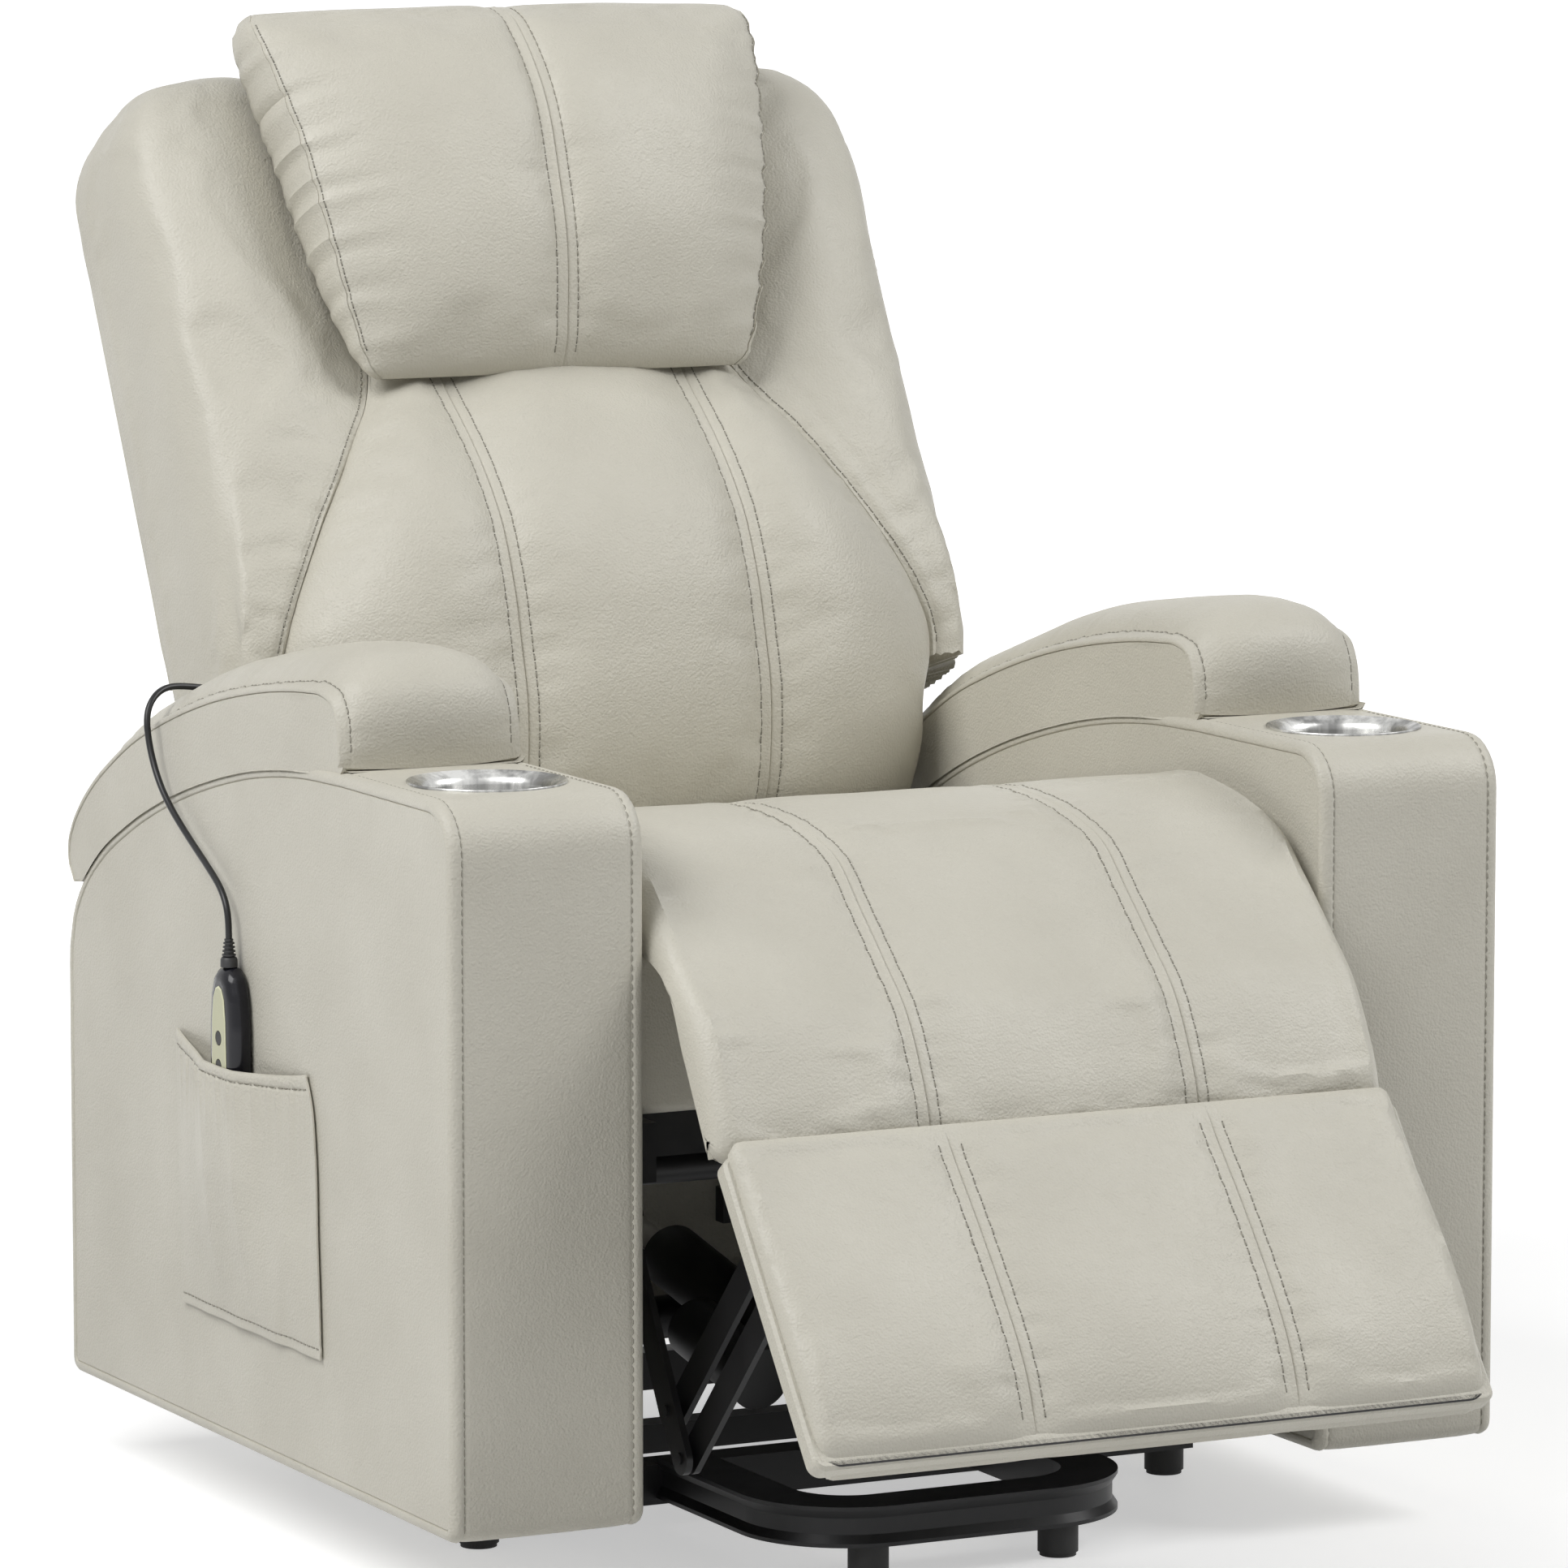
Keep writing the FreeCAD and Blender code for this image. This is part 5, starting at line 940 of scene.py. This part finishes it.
# The head pillow: a crowned front panel with a double seam, and a gathered side wall.
pillow = {
    # up, half width, front seam, crown, rear
    "table": [(363, 156, 158, 161, 157), (368, 163, 163, 171, 155), (378, 169, 167, 183, 152),
              (400, 176, 174, 198, 148), (452, 188, 190, 221, 143), (500, 196, 198, 232, 142),
              (542, 202, 202, 237, 142), (585, 209, 200, 234, 141), (625, 215, 195, 221, 141),
              (648, 217, 188, 207, 142), (662, 213, 178, 190, 144), (669, 204, 168, 174, 149),
              (671, 194, 160, 162, 155)],
    "middle": -7, "rows": 66, "scallop": 2.1, "scallopWave": 26, "pressure": 2.6, "cap": 3.5,
    # side wall from its rear edge to the front seam: widening, share of the depth
    "wall": [(-13, 0), (-6, 0.01), (-2, 0.07), (0.3, 0.22), (1.2, 0.42), (0.9, 0.62), (-0.2, 0.8),
             (-1.5, 0.92), (-2.8, 0.985)],
    # columns of the front panel, from the seam in its middle to its edge
    "shares": (0.2, 0.28, 0.36, 0.44, 0.52, 0.6, 0.68, 0.75, 0.82, 0.88, 0.93, 0.965, 0.99),
    "panelIn": 3.5, "grooveDeep": 1.4, "seamReach": 30,
}


def makePillow():
    spec = pillow
    table = np.array(spec["table"], float)
    ups = np.linspace(table[0, 0], table[-1, 0], spec["rows"])
    half, seamOut, face, rearOut = (through(table[:, 0], table[:, k], ups) for k in range(1, 5))
    inner = doubleSeam[:, 0][np.abs(doubleSeam[:, 0]) < spec["seamReach"]]
    wall = spec["wall"]
    rows = []
    for h, so, f, ro in zip(half, seamOut, face, rearOut):
        panel = h - spec["panelIn"]
        right = [(panel * share, so + (f - so) * (1 - share ** 2.5) ** 0.72) for share in spec["shares"]]
        right.append((panel, so - spec["grooveDeep"]))
        right += [(h + wide, ro + share * (so - ro)) for wide, share in reversed(wall)]
        right = np.array(right)
        middle = np.column_stack([inner, f + seamHeight(inner)])
        rows.append(np.concatenate([right[::-1] * (-1, 1), middle, right]))
    rows = np.array(rows)
    xs, out = rows[..., 0].copy(), rows[..., 1].copy()
    away = half[:, None] - np.abs(xs)
    scallop = np.stack([ripple(ups, spec["scallopWave"], seed) for seed in (91, 94)], 1)
    scallop = np.where(xs < 0, scallop[:, :1], scallop[:, 1:])
    atWall = np.exp(-(np.clip(away, 0, None) / 7) ** 2)
    near = np.clip(np.sin(np.pi * (ups - ups[0]) / (ups[-1] - ups[0])), 0, 1)[:, None] ** 0.4
    xs += np.sign(xs) * spec["scallop"] * scallop * atWall * near
    out += 1.5 * scallop * np.exp(-((away - 10) / 16) ** 2) * near
    out += 1.2 * lumps(xs, ups[:, None], 120, 33) * np.clip(away / 30, 0, 1)
    front = chairMetres(onBack(xs + spec["middle"], ups[:, None], out))
    flat = np.linspace(-1, 1, xs.shape[1])[None, :] * (half[:, None] - 14)
    rear = chairMetres(onBack(flat + spec["middle"], ups[:, None], rearOut[:, None]))
    held = heldMask(np.broadcast_to(rows[30, :, 0], xs.shape), (0,), ends=(3, 3), sides=(12, 12))
    front = fillCover(front, held, spec["pressure"], spec["cap"])
    cover = closedForm("head_pillow_cover", front, rear, coverLeather, body="back")
    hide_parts("head_pillow")
    keep = slice(2, spec["rows"] - 2)
    sew("head_pillow_stitches", columnRows(front, rows[0, :, 0], (0,), keep, backOutward), "back")
    edge = []
    for column in (len(wall) + 1, xs.shape[1] - len(wall) - 2):
        normal = facingNormals(front, backOutward, (30, column))
        edge.append((front[4:-4, column], normal[4:-4, column]))
    sew("head_pillow_edge_stitches", edge, "back")


makePillow()
print("pillow done")


# The arms: a flat side panel, a raised rounded band, and a stitched strip over the front and top.
arm = {
    "front": 0, "rear": 707, "low": 63, "high": 587, "bend": 38, "foot": 12, "step": 12,
    "slope": [(189, 587), (262, 584.5), (344, 575), (426, 558), (506, 535.5), (584, 506), (640, 478),
              (675, 452), (697, 424), (706, 396)],
    # distance from the side plane, depth below the strip
    "band": [(1.1, 11), (1.1, 9.6), (1.9, 9.0), (0.5, 8.2), (0, 6.8), (0.6, 3.9), (2.4, 1.5), (4.8, 0.3),
             (7.2, -0.3), (9.2, 0.1), (10.4, 0.9), (11.8, 0.25), (15, 0), (24, -0.4)],
    "cupY": 100, "cupHole": 54.5, "cupDeep": 80,
    "stitchLow": 70, "stitchRear": 181, "stitchIn": 9.7, "stitchDeep": 0.75,
}


def armLoop():
    spec = arm
    slope = smoothLine(spec["slope"], 46)
    corners = [(spec["front"], spec["low"], spec["foot"]), (spec["front"], spec["high"], spec["bend"])]
    corners += [(y, z, 0) for y, z in slope]
    corners += [(spec["rear"], 380, 0), (spec["rear"], spec["low"], spec["foot"])]
    return roundedLoop(corners, spec["step"])


def armStations(low, high, band):
    stations = [(low + d, inset) for d, inset in band]
    middle = (low + high) / 2
    # a slight fullness between the strip's seams
    stations += [(middle - 20, -0.6), (middle + 20, -0.6)]
    stations += [(high - d, inset) for d, inset in reversed(band)]
    return stations


def makeArm(side):
    spec = arm
    name = sideNames[side]
    loop = armLoop()
    low, high = sorted((side * armBox[0], side * armBox[1]))
    cover = acrossLoops(name + "_arm_cover", loop, armStations(low, high, spec["band"]), coverLeather,
                        body="chassis")
    well = ((low + high) / 2, spec["cupY"], spec["high"])
    drillHole(cover, well, spec["cupHole"], 2 * spec["cupDeep"], 64)
    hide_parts(name + "_arm_body")
    # stitches from the foot of the front edge, over the top to the pad
    normals = loopNormals(loop)
    order = np.flatnonzero((loop[:, 1] > spec["stitchLow"]) & (loop[:, 0] < spec["stitchRear"]))
    start = order[np.argmin(loop[order, 1] + 1000 * (loop[order, 0] > 5))]
    order = np.roll(order, -int(np.flatnonzero(order == start)[0]))
    order = order if loop[order[1], 1] > loop[order[0], 1] else np.roll(order[::-1], 1)
    rows = []
    for x in (low + spec["stitchIn"], high - spec["stitchIn"]):
        line = np.column_stack([np.full(len(order), x), loop[order] - normals[order] * spec["stitchDeep"]])
        up = np.column_stack([np.zeros(len(order)), normals[order]])
        rows.append((chairMetres(line), up))
    sew(name + "_arm_stitches", rows, "chassis")


for side in (-1, 1):
    makeArm(side)
print("arms done")


# Turned steel cup holders: a dished rim that runs down into the well.
cup = {
    "profile": [(0, -73.6), (36, -73.6), (43, -71.5), (46, -66), (46.2, -8), (46.9, -4.5), (49.5, -1.6),
                (55.4, 1.0), (56.4, 1.7), (57.2, 1.5), (57.6, 0.7), (57.4, -0.4), (55, -1.4), (48.6, -3.6),
                (47.2, -8), (47.2, -67), (44, -73), (37, -75), (0, -75)],
    "turns": 96, "stand": 0.5,
}


def turned(name, profile, turns, middle, material, **more):
    # a profile (radius, height) turned about an upright axis
    angle = np.linspace(0, 2 * np.pi, turns, endpoint=False)
    profile = np.array(profile, float)
    points = [[(middle[0] + r * np.cos(a), middle[1] + r * np.sin(a), middle[2] + h) for a in angle]
              for r, h in profile]
    faces = gridFaces(len(profile), turns, wrap=True)
    return addSolid(name, chairMetres(points), faces, material, **more)


def makeCup(side):
    name = sideNames[side]
    middle = (side * (armBox[0] + armBox[1]) / 2, arm["cupY"], arm["high"] + cup["stand"])
    holder = turned(name + "_cup", cup["profile"], cup["turns"], middle, cupSteel,
                    body="chassis", slot="cup_steel")
    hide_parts(name + "_cup_holder")


for side in (-1, 1):
    makeCup(side)
print("cup holders done")


# The arm pads: loaf shaped tops that run from the cup shelf down the back of each arm.
armPad = {
    "seamLine": [(197, 590), (197, 606), (200.5, 624), (209, 637.5), (225, 643.5), (250, 643.5), (281, 641),
                 (353, 631), (429, 615.5), (491, 598.5), (531, 585.5), (569, 571.5), (613, 550.5),
                 (652, 528), (678, 508), (694, 491), (702.5, 474), (701, 460), (689, 446)],
    "overhang": 1.2, "count": 120, "rest": 0.4, "narrow": 5,
    # the underside reaches down round the arm's own rounded edge
    "lip": (4.6, 2.6, 0.9, 0),
    # along the line, how far the crown rises
    "crown": [(0, 5), (18, 7), (38, 14), (62, 21), (100, 25), (290, 26), (345, 24), (400, 24), (450, 27),
              (540, 25), (590, 16), (640, 7)],
    # distance from the side plane, depth below the strip's own edge
    "band": [(1.0, 6.2), (1.0, 5.2), (1.9, 4.7), (0.4, 4.2), (0, 3.2), (0.5, 1.5), (2, 0.3), (4.5, -0.9),
             (7, -2.0), (9.3, -2.3)],
    # distance from the side plane, share of the crown
    "rise": [(10.3, 0.09), (11.5, 0.17), (16, 0.36), (22, 0.54), (30, 0.71), (42, 0.87), (57, 0.97),
             (80, 1)],
}


def makeArmPad(side):
    spec = armPad
    name = sideNames[side]
    over = smoothLine(spec["seamLine"], spec["count"])
    under = smoothLine(arm["slope"][:-2], 60)
    under = under[under[:, 0] < 686][::-1] + (0, spec["rest"])
    under = np.concatenate([under, [(200, 587 + spec["rest"])]])
    loop = np.concatenate([over, under])
    normals = loopNormals(loop)
    run = runOf(over)
    along = np.concatenate([run, np.full(len(under), run[-1])])
    top = np.arange(len(loop)) < spec["count"]
    weight = np.where(top, np.interp(along, [0, 14, 40, run[-1] - 30, run[-1]], [0.3, 0.7, 1, 1, 0.2]), 0)
    crown = np.where(top, np.interp(along, *zip(*spec["crown"])), 0)
    crown = np.convolve(np.pad(crown, 4, mode="edge"), np.ones(9) / 9, "valid") * top
    low, high = sorted((side * (armBox[0] - spec["overhang"]), side * (armBox[1] + spec["overhang"])))
    middle = (low + high) / 2
    topInset = spec["band"][-1][1]
    fromSide = [(d, inset, 0) for d, inset in spec["band"]]
    fromSide += [(d, topInset, share) for d, share in spec["rise"][:-1]]
    stations = [(low + d, inset, share) for d, inset, share in fromSide]
    stations += [(middle, topInset, 1)]
    stations += [(high - d, inset, share) for d, inset, share in reversed(fromSide)]
    draw = np.clip((268 - loop[:, 0]) / 70, 0, 1)
    draw = 1 - spec["narrow"] * draw ** 2 * (3 - 2 * draw) / (high - middle)
    loops = []
    for x, inset, share in stations:
        edge = min(x - low, high - x)
        rough = 0.9 * lumps(np.full(len(loop), x), loop[:, 0] + loop[:, 1], 110, 41)
        rough = rough + 0.8 * np.exp(-((edge - 15) / 11) ** 2) * ripple(along, 21, 43)
        rise = share * crown + rough * (0 if edge < 7 else 1) * weight
        lip = np.where(top, 0, np.interp(edge, [0, 1.6, 3.2, 5.5], spec["lip"]))
        moved = loop + normals * (rise - inset * weight + lip)[:, None]
        loops.append(np.column_stack([middle + (x - middle) * draw, moved]))
    cover = acrossForm(name + "_arm_pad_cover", chairMetres(loops), coverLeather, body="chassis")
    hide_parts(name + "_arm_pad")
    rows = []
    keep = slice(2, spec["count"] - 3)
    for place in (len(spec["band"]) - 1, len(stations) - len(spec["band"])):
        line = chairMetres(np.array(loops[place]))[keep]
        rows.append((line, np.column_stack([np.zeros(len(loop)), normals])[keep]))
    sew(name + "_arm_pad_stitches", rows, "chassis")


for side in (-1, 1):
    makeArmPad(side)
print("arm pads done")


# The side pocket: a thin sewn pouch with a gathered hem, stretched over the handset.
pocket = {
    # height, front edge, rear edge
    "edges": [(156, 224, 480.5), (200, 226, 480.5), (240, 228.5, 481), (307, 231.5, 483), (343, 238, 485.5),
              (352, 242, 486), (362, 247, 486)],
    "columns": 170, "rows": 74, "sag": 10.5, "stand": 20.3, "edgeStand": 2.1, "sheet": 1.3, "hem": 10,
    "handset": (343, 397), "low": 156, "lowSeam": 7, "creaseY": 300, "pleatWave": 17, "gatherWave": 8.6,
    "most": 22,
}


def makePocket():
    spec = pocket
    table = np.array(spec["edges"], float)
    u = np.linspace(0, 1, spec["columns"])
    v = np.concatenate([np.linspace(0, 0.9, spec["rows"] - 22), np.linspace(0.905, 1, 22)])
    height = spec["low"] + v * (table[-1, 0] - spec["low"])
    front = through(table[:, 0], table[:, 1], height)
    rear = through(table[:, 0], table[:, 2], height)
    y = front[:, None] + (rear - front)[:, None] * u
    bow = np.sin(np.pi * u) ** 0.8
    z = height[:, None] - spec["sag"] * bow * v[:, None] ** 5
    # how far it stands off the arm: tight round the handset, easing below it
    start, end = spec["handset"]
    tight = np.interp(y, [start - 100, start - 34, start, end, end + 30, end + 92], [0, 0.52, 1, 1, 0.6, 0])
    rise = np.interp(height, [spec["low"], 172, 215, 272, 300, 362], [0.06, 0.2, 0.55, 0.97, 1, 1])[:, None]
    loose = 2.2 * np.sin(np.pi * u) * np.sin(np.pi * np.clip((height - spec["low"]) / 150, 0, 1))[:, None]
    out = spec["edgeStand"] + (spec["stand"] - spec["edgeStand"]) * tight * rise + loose * (1 - tight)
    fromTop = height[-1] - height[:, None]
    side = np.minimum(y - front[:, None], rear[:, None] - y)
    inHem = fromTop < spec["hem"]
    gather = ripple(y, spec["gatherWave"], 61)
    pleat = ripple(y, spec["pleatWave"], 62) * np.exp(-((fromTop - spec["hem"]) / 34) ** 2)
    away = np.clip(side / 10, 0, 1)
    puff = np.sin(np.pi * np.clip(fromTop / spec["hem"], 0, 1)) ** 0.6
    out += away * np.where(inHem, (0.7 + 0.95 * np.abs(gather)) * puff, 1.5 * np.maximum(pleat, -0.25))
    out -= 1.0 * np.exp(-((fromTop - spec["hem"] - 0.6) / 1.2) ** 2) * away
    out += 0.9 * lumps(y, z, 90, 64) * away * np.clip(fromTop / 60, 0, 1)
    # one long crease that rises from the lower edge
    fromLow = z - spec["low"]
    crease = np.exp(-((y - spec["creaseY"] + 0.25 * fromLow) / 9) ** 2)
    out += crease * np.clip(1 - fromLow / 120, 0, 1) * away
    out -= 0.5 * np.exp(-((height[:, None] - spec["low"] - spec["lowSeam"]) / 1.3) ** 2)
    out[-4:] -= np.clip(1 - fromTop[-4:] / 2.4, 0, 1) ** 2
    out = np.minimum(out, spec["most"])
    x = -armBox[1] - out
    outer = chairMetres(np.stack([x, y, z], -1))
    inner = outer + (spec["sheet"] / 1000, 0, 0)
    cover = closedForm("side_pocket_cover", outer, inner, coverLeather, body="chassis")
    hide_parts("side_pocket")
    normal = facingNormals(outer, (-1, 0, 0), (30, 40))
    low = int(np.argmin(np.abs(height - spec["low"] - spec["lowSeam"])))
    hem = int(np.argmin(np.abs(height[-1] - height - spec["hem"] - 0.6)))
    sew("side_pocket_stitches", [(outer[row, 2:-2], normal[row, 2:-2]) for row in (low, hem)], "chassis")


makePocket()
print("pocket done")


# The handset: a tapered gloss shell with an arched top, a pale label plate and a ribbed relief.
handset = {
    "y": 370, "low": 275, "high": 425, "rear": -425.9, "face": -442.4,
    "outline": [(-22.5, 275, 7), (-24, 330, 0), (-23.6, 380, 0), (-21, 404, 0), (-15.5, 417.5, 0),
                (-8, 423.6, 0), (0, 425, 0), (8, 423.6, 0), (15.5, 417.5, 0), (21, 404, 0), (23.6, 380, 0),
                (24, 330, 0), (22.5, 275, 7)],
    # away from the shell's rear, or from its face, and inset from the outline
    "layers": [(0, 3.2), (1.2, 1.4), (3.2, 0.4), (6.5, 0), (9.6, 0.3), (12, 1.3), (14, 3), (15.4, 5.2),
               (16.2, 7.8), (16.5, 10.5)],
    "borderLayers": [(-0.5, 0), (0.45, 0), (0.6, 0.3)],
    "plateLayers": [(-0.5, 1.2), (0.72, 1.2), (0.8, 1.35)],
    "plate": [(-13.6, 287, 5), (-13.2, 340, 0), (-11.8, 385, 0), (-9.4, 401, 0), (-5, 408.6, 0),
              (0, 410.6, 0), (5, 408.6, 0), (9.4, 401, 0), (11.8, 385, 0), (13.2, 340, 0), (13.6, 287, 5)],
    "buttonRim": 5.6, "buttons": (372, 351, 330),
    "relief": [(0, -0.6), (6.4, -0.6), (6.3, 5), (5.4, 6.4), (5.5, 6.5)],
    "ribs": 4, "ribStart": 7.2, "ribPitch": 2.9, "ribWide": 5.2, "ribTaper": 0.35,
}


def makeHandset():
    spec = handset
    outline, plate = (roundedLoop([(spec["y"] + y, z, r) for y, z, r in spec[key]], 4)
                      for key in ("outline", "plate"))
    stations = [(spec["rear"] - away, inset) for away, inset in spec["layers"]]
    shell = acrossLoops("handset_body", outline, stations, handsetGloss,
                        body="chassis", slot="handset_black")
    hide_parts("handset_shell")
    for part, material in (("border", borderFilm), ("plate", faceFilm)):
        stations = [(spec["face"] - away, inset) for away, inset in spec[part + "Layers"]]
        label = acrossLoops("handset_label_" + part, plate, stations, material,
                            body="chassis", slot="handset_face")
        for z in spec["buttons"]:
            drillHole(label, (spec["face"], spec["y"], z), spec["buttonRim"], 30, 32, (0, math.pi / 2, 0))
    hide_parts("handset_faceplate")
    profile = list(spec["relief"])
    for rib in range(spec["ribs"]):
        base = spec["ribStart"] + rib * spec["ribPitch"]
        wide = spec["ribWide"] - rib * spec["ribTaper"]
        profile += [(wide - 1.3, base), (wide, base + 0.4), (wide, base + 1.5), (wide - 1.3, base + 1.9)]
    profile += [(3.4, 19), (3.3, 20), (0, 20)]
    middle = (spec["rear"] + spec["face"]) / 2
    relief = turned("handset_relief", profile, 28, (middle, spec["y"], spec["high"]), hardPlastic,
                    body="chassis", slot="black_plastic")
    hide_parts("handset_strain_relief")


makeHandset()
print("handset done")


# The handset's cord, out of its relief, up the arm's side, over the pad and down inside.
cordSpec = {
    "relief": (-434.15, 370, 445),
    "side": [(-434.15, 370, 457), (-434, 374.5, 470), (-433.7, 386, 481), (-433.5, 405, 491),
             (-433.5, 430, 503), (-434, 456, 516.5), (-435, 480, 531.5), (-436, 498.5, 549),
             (-437, 511, 571), (-437, 517, 593.5)],
    "over": [(-429, 522.5, 606.5), (-416, 528, 613), (-397, 533, 612), (-366, 539, 606.5),
             (-332, 545.5, 601.5), (-303, 551, 598.5), (-281, 555, 595)],
    "inside": [(-268, 558.5, 585), (-261, 561, 569.5), (-263, 562, 543.5), (-265.3, 563, 515),
               (-269.2, 564.3, 487), (-270.4, 565, 461)],
    "thick": 5, "length": 534,
}


def makeCord():
    spec = cordSpec
    route = chairMetres([spec["relief"], *spec["side"], *spec["over"], *spec["inside"]])
    curve = bpy.data.curves.new("handset_cord_line", "CURVE")
    curve.dimensions = "3D"
    curve.bevel_depth = spec["thick"] / 2000
    curve.bevel_resolution = 5
    curve.resolution_u = 16
    spline = curve.splines.new("NURBS")
    spline.points.add(len(route) - 1)
    for point, place in zip(spline.points, route):
        point.co = (*place, 1)
    spline.order_u = 3
    spline.use_endpoint_u = True
    line = addObject("handset_cord_line", curve)
    curve.materials.append(cordSheath)
    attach(line, "chassis")
    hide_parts("handset_cord")


makeCord()
print("cord done")


# finishes of the pieces that keep their own shape
finishes = {
    frameSteel: ["base_front_hoop", "base_mid_crossbar", "base_side_rails", "base_rear_crossbars",
                 "base_pivot_brackets", "lift_arms", "lift_torque_tube", "lift_stabilizers",
                 "seat_side_rails", "seat_cross_rails", "lift_seat_brackets", "back_hinge_brackets",
                 "footrest_seat_plates", "footrest_actuator_rail", "recline_actuator_rail", "back_frame",
                 "footrest_brackets", "footrest_rear_links", "footrest_drive_tube", "footrest_lower_links",
                 "footrest_upper_links"],
    rodSteel: ["lift_actuator_rod"],
    hardPlastic: ["lift_actuator_housing", "lift_actuator_motor", "control_box", "power_inlet",
                  "cord_gland", "footrest_actuator_motor", "recline_actuator_motor", "footrest_slider",
                  "recline_slider", "back_vibration_motors", "handset_cord"],
    buttonRubber: ["raise_button", "lower_button", "massage_button"],
    footRubber: ["base_feet"],
    beltWeave: ["seat_webbing"],
    liningCloth: ["footrest_board"],
    coverLeather: ["rear_panel", "back_shell"],
}
for finish, names in finishes.items():
    for name in names:
        mesh = nodes[name].data
        mesh.materials.clear()
        mesh.materials.append(finish)


# stage, light and camera
stageSpec = {"floorSize": 60, "worldLight": 0.06, "floorColour": (0.8, 0.8, 0.8),
             # glow of the floor as it is seen, near the object and further out
             "glowReach": (1.1, 3.2), "floorGlow": (0.5, 1.0)}


def seenRays(tree):
    # 1 for what the camera sees, straight or through a reflection
    path = tree.nodes.new("ShaderNodeLightPath")
    either = mathNode(tree, "MAXIMUM", path.outputs["Is Camera Ray"], path.outputs["Is Glossy Ray"])
    return mathNode(tree, "MAXIMUM", either, path.outputs["Is Transmission Ray"])


def makeStage():
    spec = stageSpec
    bpy.ops.mesh.primitive_plane_add(size=spec["floorSize"], location=(0, 0, -0.0005))
    floor = bpy.context.object
    floor.name = "studio_floor"
    material = bpy.data.materials.new("paleFloor")
    material.use_nodes = True
    tree = material.node_tree
    shader = tree.nodes["Principled BSDF"]
    shader.inputs["Base Color"].default_value = (*spec["floorColour"], 1)
    shader.inputs["Roughness"].default_value = 0.6
    glow = tree.nodes.new("ShaderNodeEmission")
    glow.inputs["Color"].default_value = (1, 1, 1, 1)
    places = tree.nodes.new("ShaderNodeTexCoord")
    distance = tree.nodes.new("ShaderNodeVectorMath")
    distance.operation = "LENGTH"
    tree.links.new(places.outputs["Object"], distance.inputs[0])
    strength = tree.nodes.new("ShaderNodeMapRange")
    strength.interpolation_type = "SMOOTHSTEP"
    limits = (*spec["glowReach"], *spec["floorGlow"])
    for name, value in zip(("From Min", "From Max", "To Min", "To Max"), limits):
        strength.inputs[name].default_value = value
    tree.links.new(distance.outputs["Value"], strength.inputs["Value"])
    shown = mathNode(tree, "MULTIPLY", seenRays(tree), strength.outputs["Result"])
    tree.links.new(shown, glow.inputs["Strength"])
    total = tree.nodes.new("ShaderNodeAddShader")
    tree.links.new(shader.outputs[0], total.inputs[0])
    tree.links.new(glow.outputs[0], total.inputs[1])
    tree.links.new(total.outputs[0], tree.nodes["Material Output"].inputs["Surface"])
    floor.data.materials.append(material)

    world = bpy.data.worlds.new("studio")
    bpy.context.scene.world = world
    world.use_nodes = True
    tree = world.node_tree
    background = tree.nodes["Background"]
    strength = addNode(tree, "ShaderNodeMapRange")
    strength.inputs["To Min"].default_value = spec["worldLight"]
    strength.inputs["To Max"].default_value = 1
    tree.links.new(seenRays(tree), strength.inputs["Value"])
    tree.links.new(strength.outputs["Result"], background.inputs["Strength"])
    background.inputs["Color"].default_value = (1, 1, 1, 1)


lamps = {
    "key": {"place": (-3.4, -0.8, 4.0), "size": 3.0, "power": 182},
    "front": {"place": (-2.2, -2.6, 4.2), "size": 3.0, "power": 22},
    "right": {"place": (3.2, -2.2, 3.6), "size": 2.6, "power": 117},
}
lampTarget = (0, 0, 0.5)


def makeLamps():
    for name, spec in lamps.items():
        light = bpy.data.lights.new(name, "AREA")
        light.size = spec["size"]
        light.energy = spec["power"]
        lamp = addObject(name, light)
        lamp.location = spec["place"]
        lamp.rotation_euler = (Vector(lampTarget) - lamp.location).to_track_quat("-Z", "Y").to_euler()


photoView = {"place": (-2.913, -5.802, 1.390), "azimuth": -26.73, "elevation": 7.49, "lens": 200.3}


def makeCamera():
    spec = photoView
    azimuth, elevation = math.radians(spec["azimuth"]), math.radians(spec["elevation"])
    back = Vector((math.sin(azimuth) * math.cos(elevation), -math.cos(azimuth) * math.cos(elevation),
                   math.sin(elevation)))
    camera = bpy.data.cameras.new("photo_view")
    camera.lens = spec["lens"]
    camera.sensor_width = 36
    camera.clip_end = 60
    eye = addObject("photo_view", camera)
    eye.location = spec["place"]
    eye.rotation_euler = back.to_track_quat("Z", "Y").to_euler()
    bpy.context.scene.camera = eye


makeStage()
makeLamps()
makeCamera()
bpy.context.scene.view_settings.view_transform = "Standard"
print("stage, lamps and camera set")
